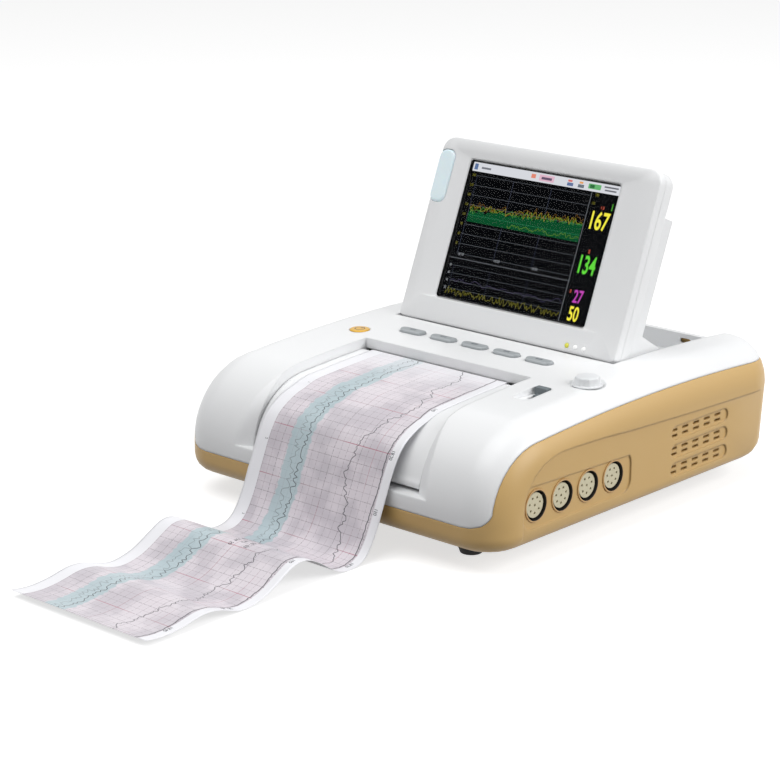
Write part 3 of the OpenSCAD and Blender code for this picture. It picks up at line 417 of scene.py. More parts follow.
def around(rows, steps):
    """Faces of a grid that closes on itself: rows lie one on the other and steps run round."""
    i, j = np.meshgrid(np.arange(rows - 1), np.arange(steps), indexing="ij")
    k = (j + 1) % steps
    corners = [i * steps + j, i * steps + k, (i + 1) * steps + k, (i + 1) * steps + j]
    return np.stack(corners, -1).reshape(-1, 4)


def arc(cx, cy, r, a0, a1, n=6):
    """Points of a circle's arc from a0 to a1 degrees."""
    a = np.radians(np.linspace(a0, a1, n))
    return list(zip(cx + r * np.cos(a), cy + r * np.sin(a)))


def gather(parts):
    """Several (vertices, faces) lists as one."""
    v, f, n = [], [], 0
    for pv, pf in parts:
        v.append(pv)
        f.append(np.asarray(pf) + n)
        n += len(pv)
    return np.concatenate(v), np.concatenate(f)


def foot_profile():
    """Half section of a foot in mm: its bore, the round of the tread, a soft bead and the neck."""
    bore, tread, side, neck = 3.2, 5.9, 7.4, 7.0
    return ([(bore, 1.2), (bore, 0.02)] + arc(tread, 0.6, 0.6, -90, -20) + [(7.6, 3.6)]
            + arc(side, 4.6, 0.6, -20, 0, 3) + arc(side, 12.6, 0.6, 0, 90, 4)
            + [(neck, 13.25), (neck, 14.4), (bore, 14.4), (bore, 1.2)])


rubber = grained("foot_rubber", linear(38, 38, 40), 0.75, edge=0, grain=0.25, tint=0.3, scale=1500)
foot_places = [(s * FOOT_X, y, 0) for y in (FOOT_FRONT, FOOT_REAR) for s in (-1, 1)]
feet = put("rubber_feet", *gather([turned(foot_profile(), at) for at in foot_places]), rubber)
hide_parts("feet")
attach(feet, "base")

# Probe sockets: four beige nylon rings clamped in the side wall, with painted shade inside their
# bores, each with a cream insert whose seven gold contacts sit in small bores.
SOCKET_Y, SOCKET_PITCH, SOCKET_Z, BORE_R = -101.6, 23.2, 36.5, 8.75
POCKET_X = BODY_W / 2 - 2.2


def sideways(v, at):
    """A form turned about Z, laid so that its axis points along X."""
    x, y, z = v[:, 0] - at[0] * MM, v[:, 1] - at[1] * MM, v[:, 2] - at[2] * MM
    return np.column_stack([at[0] * MM + z, at[1] * MM + x, at[2] * MM + y])


def bore_shaded_nylon():
    """Beige nylon with painted shade: dark within the bore's radius of the nearest socket's axis.

    With y folded over the pitch, that is where sqrt(y^2 + z^2) is under BORE_R.
    """
    mat = grained("socket_nylon", linear(200, 160, 104), 0.4, edge=0, tint=0.05)
    t = mat.node_tree
    place = t.nodes.new("ShaderNodeSeparateXYZ")
    t.links.new(object_place(t), place.inputs[0])
    first = 0.5 - SOCKET_Y / SOCKET_PITCH
    along = calc(t, "FRACT", calc(t, "MULTIPLY_ADD", place.outputs[1], 1000 / SOCKET_PITCH, first))
    y = times(t, calc(t, "SUBTRACT", along, 0.5), SOCKET_PITCH)
    z = calc(t, "MULTIPLY_ADD", place.outputs[2], 1000.0, -SOCKET_Z)
    r = calc(t, "SQRT", calc(t, "ADD", times(t, y, y), times(t, z, z)))
    # Painted shade: the nylon inside the bore's radius is dark, where the bore lies in shadow.
    bore = calc(t, "LESS_THAN", r, BORE_R)
    return fed(mat, "Base Color", blend_colour(t, bore, shade_of(mat), linear(40, 37, 34)))


def ring_profile():
    """Half section of a socket's ring in mm: the bore with a round lip, the collar and the flange
    behind the wall, closed at the back."""
    bore, collar, flange = 8.6, 9.2, 11.15
    return ([(bore, -8), (bore, 0.2)] + arc(8.9, 0.35, 0.3, 180, 90, 4) + arc(9.3, 0.35, 0.35, 90, 0, 5)
            + [(9.65, 0.03), (collar, 0.0), (collar, -3.2), (flange, -3.25), (flange, -5.75),
               (collar, -5.8), (collar, -9), (0, -9), (0, -8), (bore, -8)])


ring_nylon = bore_shaded_nylon()
cream = grained("socket_cream", linear(214, 206, 176), 0.5, edge=0.25)
for i in range(4):
    at = (POCKET_X, SOCKET_Y + SOCKET_PITCH * i, SOCKET_Z)
    v, f = turned(ring_profile(), at, steps=72)
    ring = put("socket_ring_%d" % (i + 1), sideways(v, at), f, ring_nylon)
    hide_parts("socket_%d" % (i + 1))
    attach(ring, "base")
inserts = stand_in("socket_inserts", cream, name="socket_cores")

# Inside of the casing: boards with solder mask and parts, a tinned supply box, sleeved
# cells, the loudspeaker and the sockets of the rear panel. Little of it shows.


def paint(material, slot_name, *nodes):
    """A CAD node shown as it is takes a procedural material."""
    for node in nodes:
        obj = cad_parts[node]
        obj.data.materials.clear()
        obj.data.materials.append(material)


def speckled(name, a, b, scale, rough, metallic=0.0, share=0.5):
    """Two tones in a fine cell pattern, for boards and cast or rolled metal.

    Tone b takes about that share: the noise, less 1 - share, is made 6 times steeper and cut at 0 and 1.
    """
    mat = new_material(name, a, rough, Metallic=metallic)
    t = mat.node_tree
    over = calc(t, "SUBTRACT", noise(t, scale, 3.0, object_place(t)), 1 - share)
    clamp = t.nodes.new("ShaderNodeClamp")
    t.links.new(calc(t, "SMOOTH_MIN", times(t, over, 6.0), 1.0, 0.1), clamp.inputs[0])
    return fed(mat, "Base Color", blend_colour(t, clamp.outputs[0], a, b))


board_green = speckled("board_green", linear(18, 74, 46), linear(28, 96, 60), 900, 0.4)
steel = speckled("bright_steel", linear(178, 180, 184), linear(196, 198, 200), 1200, 0.32, 0.95)
brass = speckled("brass", linear(190, 154, 84), linear(206, 170, 96), 1200, 0.3, 0.95)
black_nylon = grained("black_nylon", linear(30, 30, 32), 0.5, edge=0.3, tint=0.2)
acetal = grained("acetal", linear(232, 228, 214), 0.4, edge=0.15)
sleeve = grained("cell_sleeve", linear(52, 96, 158), 0.35, edge=0, tint=0.15)
paint(board_green, "board", "socket_board", "main_board", "key_board", "display_board")
paint(steel, "supply_tin", "power_supply")
paint(sleeve, "cell_sleeve", "battery_pack")
paint(black_nylon, "speaker_cone", "speaker")
paint(black_nylon, "inlet", "mains_inlet")
paint(steel, "port_shell", "data_ports")
paint(brass, "stud_brass", "ground_stud")
paint(steel, "screw_steel", "case_screws", "frame_screws", "head_screws")
paint(steel, "shaft_steel", "hinge_pins", "door_pins", "encoder_shaft")
paint(black_nylon, "encoder_body", "encoder")
paint(acetal, "plunger", "encoder_plunger")

# Keys: five grey soft-coated caps with a domed top, a moulded dent shown only by painted shade,
# painted shade over the middle of the top, and rounded edges, and the golden power key. Each
# slides in its hole and stands on a flange under the panel.
KEY_Y, CONTROL_Y = -10.8, -26.5
KEY_LENGTH, KEY_WIDTH, KEY_PITCH, KEY_DOME, KEY_EDGE = 18.6, 8, 24.9, 16, 0.7
KEY_PROUD, KEY_DEEP = 1.8, 4.4
POWER_X, POWER_PROUD = -80, 0.5


def pill_outline(length, width, n=20):
    """Points round a flat shape with two round ends, and the middle line each one belongs to."""
    half = (length - width) / 2
    a = np.linspace(-90, 90, n)
    right = np.column_stack([np.cos(np.radians(a)), np.sin(np.radians(a))])
    left = -right
    return np.concatenate([right, left]), np.concatenate([np.full(n, half), np.full(n, -half)])


def domed_pill(length, width, low, top, dome, edge, at, steps=8):
    """Cap with a rounded rim.

    Round the outline goes a = the direction from the middle line. Up the side the inset is 0,
    then edge (1 - cos t) while the height is edge (1 - sin t) under the dome, then the inset
    grows to the middle line. The dome falls from top as dome - sqrt(dome^2 - y^2).
    """
    d, middle = pill_outline(length, width)
    t = np.linspace(0, np.pi / 2, 7)
    across = edge + (width / 2 - edge) * np.linspace(0, 0.999, steps)[1:]
    inset = np.concatenate([[0, 0], edge * (1 - np.cos(t[1:])), across])
    under = np.concatenate([[0, edge], edge * (1 - np.sin(t[1:])), np.zeros(steps - 1)])
    r = width / 2 - inset[:, None]
    x, y = middle + r * d[:, 0], r * d[:, 1]
    z = top - (dome - np.sqrt(dome * dome - y * y)) - under[:, None]
    z[0] = low
    n = len(d)
    v = np.stack([x + at[0], y + at[1], z + np.zeros_like(x)], -1).reshape(-1, 3)
    return v * MM, closed(len(inset), n)


def closed(rows, n):
    """Faces round all the rows, and four-sided ones that close the lowest and the highest across."""
    j = np.arange(n // 2 - 1)
    top = (rows - 1) * n
    return np.concatenate([around(rows, n), np.stack([n - 1 - j, n - 2 - j, j + 1, j], -1),
                           np.stack([top + j, top + j + 1, top + n - 2 - j, top + n - 1 - j], -1)])


def skin_z(y):
    """Height in mm of the casing's skin over a place y."""
    c = math.sqrt(CROWN_R ** 2 - (y - CREST[0]) ** 2) + CREST[1]
    return c if y > BLEND_Y else NOSE[1] + math.sqrt(NOSE_R ** 2 - (y - NOSE[0]) ** 2)


def uv_place(t):
    """The piece's own UV, as an output for each of its two directions."""
    uv = t.nodes.new("ShaderNodeSeparateXYZ")
    t.links.new(t.nodes.new("ShaderNodeTexCoord").outputs["UV"], uv.inputs[0])
    return uv.outputs[0], uv.outputs[1]


def key_paint_with_shade():
    """Grey soft paint with painted shade, from the piece's own UV: the middle of the top darker than its
    rim, and a dark mark with a paler centre in the middle of each key for the shade of a small dent.
    """
    mat = grained("key_grey", linear(172, 177, 180), 0.42, edge=0, tint=0.06)
    t = mat.node_tree
    u, v = uv_place(t)
    # Painted shade: the middle of the top is darker than its rim.
    shade = blend_colour(t, between(t, v, -2.9, 2.9), shade_of(mat), linear(156, 161, 164))
    # Painted shade of the moulded dent: a dark mark with a paler centre in the middle of each key.
    for half_u, half_v, colour in ((2.3, 1.1, (84, 90, 96)), (1.5, 0.45, (140, 146, 150))):
        dent_shade = boxed(t, u, v, -half_u, half_u, -half_v, half_v)
        shade = blend_colour(t, dent_shade, shade, linear(*colour))
    return fed(mat, "Base Color", shade)


def power_gold():
    """Golden paint with a darker printed ring of radius 2.6 to 3.4 mm and a short bar at its top."""
    mat = new_material("power_gold", linear(226, 178, 62), 0.34, Metallic=0.35)
    t = mat.node_tree
    u, v = uv_place(t)
    r = calc(t, "SQRT", calc(t, "ADD", calc(t, "POWER", u, 2.0), calc(t, "POWER", v, 2.0)))
    bar = boxed(t, u, v, -0.5, 0.5, 1.0, 4.2)
    mark = times(t, calc(t, "MAXIMUM", between(t, r, 2.6, 3.4), bar), calc(t, "LESS_THAN", r, 4.2))
    tone = shade_of(clouded(mat, 260, 2.0, linear(214, 164, 48), linear(232, 186, 74)))
    return fed(mat, "Base Color", blend_colour(t, mark, tone, linear(120, 84, 20)))


shaded_key_paint = key_paint_with_shade()
for i, word in enumerate(("one", "two", "three", "four", "five")):
    x = (i - 2) * KEY_PITCH
    skin = skin_z(KEY_Y)
    v, f = domed_pill(KEY_LENGTH, KEY_WIDTH, skin - KEY_DEEP, skin + KEY_PROUD,
                      KEY_DOME, KEY_EDGE, (x, KEY_Y))
    key = put("key_cap_" + word, v, f, shaded_key_paint, uv=v[:, :2] / MM - (x, KEY_Y))
    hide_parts("key_%d" % (i + 1))
    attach(key, "key_" + word)

power_profile = ([(0, -4.6), (6.2, -4.6), (6.2, -0.7)] + arc(5.5, -0.7, 0.7, 0, 90, 6)
                 + [(3.0, 0.12), (0, 0.15)])
golden = power_gold()
v, f = turned(power_profile, (POWER_X, CONTROL_Y, skin_z(CONTROL_Y) + POWER_PROUD))
power = put("power_cap", v, f, golden, uv=v[:, :2] / MM - (POWER_X, CONTROL_Y))
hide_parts("power_key")
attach(power, "power")

# Knob of the rotary encoder: a pale cap with eight soft grip flats, pushed on the shaft's
# flat. It stands in a round dish of the panel.
KNOB_X, KNOB_SUNK, FLAT_DEPTH = 97.8, 1.0, 0.085


def knob_flats(p, a):
    """Scale of the radius round the knob: eight flats with soft corners on its side, 1 elsewhere.

    A flat's depth is FLAT_DEPTH (1 - w^1.6), where w goes from 1 at a corner to 0 in its middle.
    """
    wave = np.abs(((a / (math.pi / 4)) % 1) - 0.5) * 2
    flats = 1 - FLAT_DEPTH * (1 - wave ** 1.6)
    z = p[:, 1:2]
    side = np.clip((z - 0.9) / 0.8, 0, 1) * np.clip(p[:, :1] / 5.0, 0, 1)
    return 1 + (flats[None, :] - 1) * side


knob_profile = ([(0, 0.02), (8.9, 0.02)] + arc(8.7, 0.5, 0.3, -60, 60, 4) + [(7.9, 0.95)]
                + arc(7.7, 1.15, 0.2, -90, -180, 3) + [(7.45, 4.4)] + arc(6.35, 4.5, 1.1, 5, 90, 8)
                + [(3.5, 5.62), (0, 5.6)])
knob_grey = grained("knob_grey", linear(226, 228, 230), 0.36, edge=0)
knob_at = (KNOB_X, CONTROL_Y, skin_z(CONTROL_Y) - KNOB_SUNK)
v, f = turned(knob_profile, knob_at, steps=96, flute=knob_flats)
knob = put("knob_cap", v, f, knob_grey, sharp=math.radians(40))
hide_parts("knob")
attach(knob, "dial")

# Recorder under the door: tray, folded pack, folded steel frame, thermal head, springs,
# motor, gears and the rubber platen. The gears are acetal and the motor's pinion brass.
platen_rubber = grained("platen_rubber", linear(44, 45, 48), 0.7, edge=0, tint=0.2)
aluminium = speckled("cast_aluminium", linear(150, 152, 156), linear(170, 172, 176), 1500, 0.45, 0.8)
paint(grained("tray_grey", linear(206, 206, 202), 0.5, edge=0.4), "tray", "paper_tray")
paint(steel, "frame_sheet", "printer_frame")
paint(aluminium, "thermal_head", "print_head")
paint(steel, "spring_steel", "print_head_springs")
paint(aluminium, "motor_can", "stepper_motor")
paint(brass, "pinion_brass", "motor_pinion")
paint(acetal, "gear_nylon", "idler_gear", "platen_gear")
paint(acetal, "bush", "platen_bushes")
paint(platen_rubber, "platen_rubber", "platen_roller")

# Paper door with its latch: a white moulded skin that carries on the casing's crown and
# nose, hinged at the front edge, and a grey sliding tab in a finger scoop. A wire spring
# lies between the tab and its stop.
door = stand_in("paper_door", white, body="door", name="door_skin")
latch_grey = grained("latch_grey", linear(112, 120, 124), 0.45, edge=0.5, tint=0.1)
latch = stand_in("door_latch", latch_grey, body="latch", name="latch_tab")
spring = stand_in("latch_spring", steel, name="latch_coil")
spring_length = float(np.ptp(arrays("latch_spring")[0][:, 1]))
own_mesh(spring)

# Chart paper: one strip of glossy thermal paper that leaves the slot, follows the door over
# the nose, hangs in front of the casing and lies on the table in slack waves.
PAPER_X, PAPER_W, PAPER_T = -4.0, 107.0, 0.12
BEND_R, BEHIND_PLATEN, OFF_DOOR = 1.7, -37.95, 5.65
BEND_Y = BEHIND_PLATEN - BEND_R
# PALE_TO and FULL_FROM bound a painted highlight: the print is palest up to PALE_TO mm from the slot and
# full from FULL_FROM.
GRID_LEFT, GRID_RIGHT, PALE_TO, FULL_FROM = 9.5, 101.0, 16.0, 62.0
HEART_AT, WOMB_AT, EDGE_AT = 34.0, 82.0, 99.4


def spline(points, s):
    """Smooth curve through points at places s along it.

    A natural cubic spline over the chord length: the second derivatives m solve
    h0 m0 + 2 (h0 + h1) m1 + h1 m2 = 6 (slope1 - slope0), and each span is the cubic they give.
    """
    p = np.asarray(points, float)
    k = np.concatenate([[0], np.cumsum(np.linalg.norm(np.diff(p, axis=0), axis=1))])
    h, n = np.diff(k), len(p)
    a = np.eye(n)
    i = np.arange(1, n - 1)
    a[i, i - 1], a[i, i], a[i, i + 1] = h[:-1], 2 * (h[:-1] + h[1:]), h[1:]
    b = np.zeros_like(p)
    slope = np.diff(p, axis=0) / h[:, None]
    b[1:-1] = 6 * np.diff(slope, axis=0)
    m = np.linalg.solve(a, b)
    s = np.clip(s, 0, k[-1])
    j = np.clip(np.searchsorted(k, s, side="right") - 1, 0, n - 2)
    hj = h[j][:, None]
    l, r = (k[j + 1] - s)[:, None], (s - k[j])[:, None]
    cubic = (m[j] * l ** 3 + m[j + 1] * r ** 3) / (6 * hj)
    return cubic + (p[j] / hj - m[j] * hj / 6) * l + (p[j + 1] / hj - m[j + 1] * hj / 6) * r


def strip_points():
    """The strip's side view in mm: up behind the platen, over the door's crown and nose with 0.35 to
    spare, then as it hangs and lies. The free part is measured from the casing's front."""
    r = CROWN_R - OFF_DOOR
    top = CREST[1] + math.sqrt(r * r - (BEND_Y - CREST[0]) ** 2)
    up = [[BEHIND_PLATEN, 60.0], [BEHIND_PLATEN, 68.0], [BEHIND_PLATEN, top - 5]]
    bend = arc(BEND_Y, top - BEND_R, BEND_R, 0, 90, 9)
    y = np.linspace(BEND_Y - 1.5, NOSE[0], 24)
    over = np.column_stack([y, CREST[1] + np.sqrt(r * r - (y - CREST[0]) ** 2)]).tolist()
    nose = arc(*NOSE, NOSE_R - OFF_DOOR, 93, 112, 9)
    free = [[27, 70.6], [20.5, 67.9], [15, 64.8], [10.7, 61.6], [6.5, 56.6], [2.9, 50.6], [-0.2, 44],
            [-3.4, 36.5], [-6.4, 29.5], [-9.2, 22.7], [-13.1, 14.6], [-17.5, 7.6], [-21.9, 3.2],
            [-27.5, 0.8], [-34.3, 0.35], [-40.5, 1.3], [-48, 5], [-55.5, 10], [-63, 14],
            [-69.5, 15.8], [-75.5, 15.4], [-81.5, 12.9], [-88.5, 9], [-97.5, 4.4], [-106.5, 1.8],
            [-115.5, 1], [-123.5, 2.6], [-131.5, 5.2], [-139.5, 6.6], [-147.5, 6.2], [-155.5, 4.6],
            [-165.5, 3.2], [-175.5, 3], [-185, 4.2]]
    return up + bend + over + nose + [[y - BODY_D / 2, z] for y, z in free]


strip = strip_points()
STRIP_L = float(np.sum(np.linalg.norm(np.diff(strip, axis=0), axis=1)))


def on_paper(u, v, lift=0.0):
    """Places on the strip: u across from its left edge and v along from the slot, in mm, lift off it.

    The profile gives Y and Z at v and its left-hand normal the lift; X is u. A faint ripple
    across the strip, 0.12 sin(u / 17 + v / 60), keeps it from being a perfect cylinder.
    """
    p = spline(strip, v)
    d = spline(strip, v + 0.5) - spline(strip, v - 0.5)
    d /= np.maximum(np.linalg.norm(d, axis=1), 1e-9)[:, None]
    off = lift + 0.12 * np.sin(u / 17 + v / 60) * np.clip((v - 150) / 60, 0, 1)
    x = PAPER_X - PAPER_W / 2 + u
    return np.column_stack([x, p[:, 0] + d[:, 1] * off, p[:, 1] - d[:, 0] * off]) * MM


def sheet_grid(nu, nv):
    """The strip as a grid: u runs across and v along, at even steps."""
    u, v = np.meshgrid(np.linspace(0, PAPER_W, nu), np.linspace(0, STRIP_L, nv), indexing="ij")
    co = on_paper(u.ravel(), v.ravel())
    i, j = np.meshgrid(np.arange(nu - 1), np.arange(nv - 1), indexing="ij")
    f = np.stack([i * nv + j, i * nv + j + 1, (i + 1) * nv + j + 1, (i + 1) * nv + j], -1).reshape(-1, 4)
    return co, f, np.column_stack([u.ravel(), v.ravel()])


def fade(t, value, full, none):
    """1 where value is under full, 0 over none, smooth between."""
    n = t.nodes.new("ShaderNodeMapRange")
    n.interpolation_type = "SMOOTHSTEP"
    feed(t, n.inputs["Value"], value)
    n.inputs["From Min"].default_value, n.inputs["From Max"].default_value = full, none
    n.inputs["To Min"].default_value, n.inputs["To Max"].default_value = 1.0, 0.0
    return n.outputs[0]


def near_line(t, coord, period, half, soft=0.12):
    """1 on lines that repeat every period along coord, fading to 0 at their edges."""
    saw = calc(t, "FRACT", calc(t, "MULTIPLY_ADD", coord, 1 / period, 0.5))
    far = times(t, calc(t, "ABSOLUTE", calc(t, "SUBTRACT", saw, 0.5)), period)
    return fade(t, far, half, half + soft)


def chance(t, step, seed):
    """A random value from 0 to 1 for each whole step."""
    n = t.nodes.new("ShaderNodeTexWhiteNoise")
    n.noise_dimensions = "1D"
    feed(t, n.inputs["W"], calc(t, "ADD", step, seed))
    return n.outputs["Value"]


def wander(t, along, length, seed):
    """-1 to 1, changing over length: smooth noise, or for lengths up to 4 a broken line between
    random values, as a recorder's pen draws."""
    place = calc(t, "MULTIPLY_ADD", along, 1 / length, seed)
    if length > 4:
        return calc(t, "MULTIPLY_ADD", noise(t, 1.0, 1.5, dims="1D", w=place), 2.0, -1.0)
    step = calc(t, "FLOOR", place)
    a, b = chance(t, step, 0.5), chance(t, step, 1.5)
    value = calc(t, "MULTIPLY_ADD", calc(t, "SUBTRACT", b, a), calc(t, "SUBTRACT", place, step), a)
    return calc(t, "MULTIPLY_ADD", value, 2.0, -1.0)


def trace(t, across, along, centre, waves, half, step=0.2, soft=0.2):
    """A drawn line: across = centre + the sum of amplitude x wander for each of the waves.

    Its distance is divided by the slope's length, sqrt(1 + slope^2), so steep strokes keep their
    width.
    """
    def at(shift):
        """Where the line is a little further along."""
        place, total = calc(t, "ADD", along, shift), centre
        for amplitude, length, seed in waves:
            total = calc(t, "MULTIPLY_ADD", wander(t, place, length, seed), amplitude, total)
        return total
    slope = times(t, calc(t, "SUBTRACT", at(step), at(-step)), 0.5 / step)
    far = calc(t, "ABSOLUTE", calc(t, "SUBTRACT", across, at(0.0)))
    steep = calc(t, "SQRT", calc(t, "MULTIPLY_ADD", slope, slope, 1.0))
    return fade(t, calc(t, "DIVIDE", far, steep), half, half + soft)


def printed_grid(t, u, v, place, inside, shade):
    """Grid lines every 2.5, 5, 10, 20 and 30 mm, printed with breaks: one row gives the direction,
    the period, the half width, the colour, the strength and which clouds break it."""
    broken = fade(t, noise(t, 0.8, 2.0, place), 0.36, 0.66)
    patch = fade(t, noise(t, 0.03, 1.0, place), 0.38, 0.60)
    for coord, period, half, colour, strength, part in (
            (u, 2.5, 0.05, (200, 174, 188), 0.30, patch), (v, 2.5, 0.05, (200, 174, 188), 0.30, patch),
            (u, 5.0, 0.09, (104, 86, 98), 0.60, broken), (v, 5.0, 0.09, (116, 94, 108), 0.52, broken),
            (u, 20.0, 0.10, (78, 62, 74), 0.62, broken), (v, 10.0, 0.10, (88, 70, 84), 0.50, broken),
            (v, 30.0, 0.16, (176, 70, 98), 0.72, patch),
            (u, 30.0, 0.10, (190, 104, 128), 0.45, patch)):
        line = times(t, near_line(t, coord, period, half), inside)
        line = times(t, line, times(t, part, strength))
        shade = blend_colour(t, line, shade, linear(*colour))
    return shade


def chart_print():
    """Thermal paper with its printed grid and the recorder's traces, from the strip's UV in mm.

    The print lies between the two margins and is pale where the strip leaves the slot, a painted
    highlight of glare.
    """
    white = linear(238, 238, 242)
    mat, _ = roughened(new_material("chart_paper", white, 0.34, Specular_IOR_Level=0.5), 1800, 0.04)
    t = mat.node_tree
    place = t.nodes.new("ShaderNodeTexCoord").outputs["UV"]
    u, v = uv_place(t)
    # Painted highlight: the print and its ground fade towards white near the slot.
    painted_glare = times(t, fade(t, v, PALE_TO, FULL_FROM), 0.82)
    inside = times(t, between(t, u, GRID_LEFT, GRID_RIGHT), calc(t, "SUBTRACT", 1.0, painted_glare))
    cloud = fade(t, noise(t, 0.045, 2.0, place), 0.40, 0.62)
    ground = blend_colour(t, cloud, linear(199, 193, 200), linear(220, 213, 219))
    shade = printed_grid(t, u, v, place, inside, blend_colour(t, inside, white, ground))

    # The band of the normal range with a ragged edge, then four traces
    drift = calc(t, "MULTIPLY_ADD", wander(t, v, 55.0, 0.3), 4.5, HEART_AT)
    ragged = calc(t, "MULTIPLY_ADD", wander(t, v, 1.6, 7.3), 0.9, drift)
    band = fade(t, calc(t, "ABSOLUTE", calc(t, "SUBTRACT", u, ragged)), 7.2, 8.6)
    band = times(t, band, calc(t, "MULTIPLY_ADD", inside, 0.5, 0.2))
    shade = blend_colour(t, band, shade, linear(164, 192, 197))
    upper, lower = calc(t, "ADD", drift, 4.2), calc(t, "SUBTRACT", drift, 1.2)
    ink = trace(t, u, v, upper, ((2.2, 7.5, 3.1), (1.7, 1.3, 8.7)), 0.15)
    for centre, waves, half, strength in (
            (lower, ((3.2, 6.5, 31.1), (2.3, 1.1, 48.7)), 0.09, 0.62),
            (WOMB_AT, ((13.0, 62.0, 12.3), (3.6, 8.0, 5.5), (1.1, 1.2, 2.2)), 0.15, 1.0),
            (EDGE_AT, ((1.6, 40.0, 22.3), (0.35, 1.7, 7.7)), 0.24, 1.0)):
        stroke = times(t, trace(t, u, v, centre, waves, half), strength)
        ink = calc(t, "MAXIMUM", ink, stroke)
    shade = blend_colour(t, times(t, ink, 0.9), shade, linear(52, 54, 62))
    return fed(mat, "Base Color", shade)


def glyphs(words, height, wide=1.0, bold=0.0):
    """Figures as a flat mesh, scaled so that a figure is height tall: vertices (x, y) and triangles."""
    curve = bpy.data.curves.new("figures", "FONT")
    curve.body = words
    curve.offset = bold
    obj = link(bpy.data.objects.new("figures", curve))
    me = bpy.data.meshes.new_from_object(obj.evaluated_get(bpy.context.evaluated_depsgraph_get()))
    me.calc_loop_triangles()
    v = listed(me.vertices, "co")[:, :2]
    f = listed(me.loop_triangles, "vertices", kind=int)
    bpy.data.objects.remove(obj)
    bpy.data.meshes.remove(me)
    bpy.data.curves.remove(curve)
    low = v.min(axis=0)
    v = (v - low) * height / (v[:, 1].max() - low[1])
    return v * (wide, 1), f


co, f, uv = sheet_grid(60, 620)
paper = put("chart_strip", co, f, chart_print(), sharp=None, uv=uv)
thick = paper.modifiers.new("thickness", "SOLIDIFY")
thick.thickness = PAPER_T * MM
thick.offset = -1
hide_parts("paper_strip")
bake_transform(paper)

# Generic figures printed along the strip: words, place across and along, height
FIGURE_WIDE, FIGURE_BOLD, FIGURE_LIFT = 0.8, 0.01, 0.03
printed = []
for words, u0, v0, tall in (
        ("140", 101.2, 78, 2.4), ("18:20", 101.0, 118, 2.4), ("150", 101.2, 152, 2.4),
        ("18:30", 101.0, 186, 2.4), ("160", 101.2, 236, 2.4), ("20 : 40", 101.0, 286, 2.6),
        ("18:40", 101.0, 330, 2.4), ("120  134  50", 55.5, 226, 2.7), ("27 : 167", 61.0, 226, 2.7),
        ("01 : 02 : 03", 66.5, 226, 2.7), ("1", 7.0, 84, 1.8), ("2", 7.0, 130, 1.8),
        ("3", 7.0, 176, 1.8), ("4", 7.0, 222, 1.8)):
    g, gf = glyphs(words, tall, FIGURE_WIDE, FIGURE_BOLD)
    printed.append((on_paper(u0 + tall - g[:, 1], v0 + g[:, 0], FIGURE_LIFT), gf[:, ::-1]))
ink = clouded(new_material("printed_ink", linear(56, 56, 62), 0.5), 2500, 2.0,
              linear(48, 48, 54), linear(80, 80, 88))
figures = put("chart_figures", *gather(printed), ink, sharp=None)
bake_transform(figures)
paint(grained("chart_pack", linear(232, 218, 228), 0.6, edge=0, tint=0.06), "chart_pack", "paper_pack")

# Display head: a white bezel and a rear cover with its leg, screwed together, that turn on
# two pins. In the bezel's bevelled opening lie a clear window and the colour panel.
HEAD_AT, HEAD_TILT = (0.0, 14.5, 86.0), math.radians(67.8)
LCD_AT, LCD_SIZE = (-2.2, 18.1 + 43.2), (115.2, 86.4)
PICTURE_OUT, FIGURES_OUT = -4.38, -4.365


def in_head(x, up, out):
    """Places in the head: x across, up its face and out of it, in mm."""
    c, s = math.cos(HEAD_TILT), math.sin(HEAD_TILT)
    y, z = HEAD_AT[1] + up * c - out * s, HEAD_AT[2] + up * s + out * c
    return np.column_stack([HEAD_AT[0] + x, y, z]) * MM


head_white = grained("head_abs", linear(238, 239, 240), 0.3, edge=1.0)
bezel = stand_in("head_bezel", head_white, body="display", name="bezel_skin")
cover = stand_in("head_back", head_white, body="display", name="cover_skin")
paint(new_material("panel_black", linear(12, 12, 13), 0.5), "lcd_body", "lcd_panel")
window_clear = new_material("window_acrylic", (1, 1, 1, 1), 0.0, Transmission_Weight=1.0, IOR=1.09)
paint(window_clear, "lcd_glass", "lcd_window")


def glowing(name):
    """Material that only glows."""
    return new_material(name, (0, 0, 0, 1), 1.0, Specular_IOR_Level=0.0, Emission_Strength=1.0)


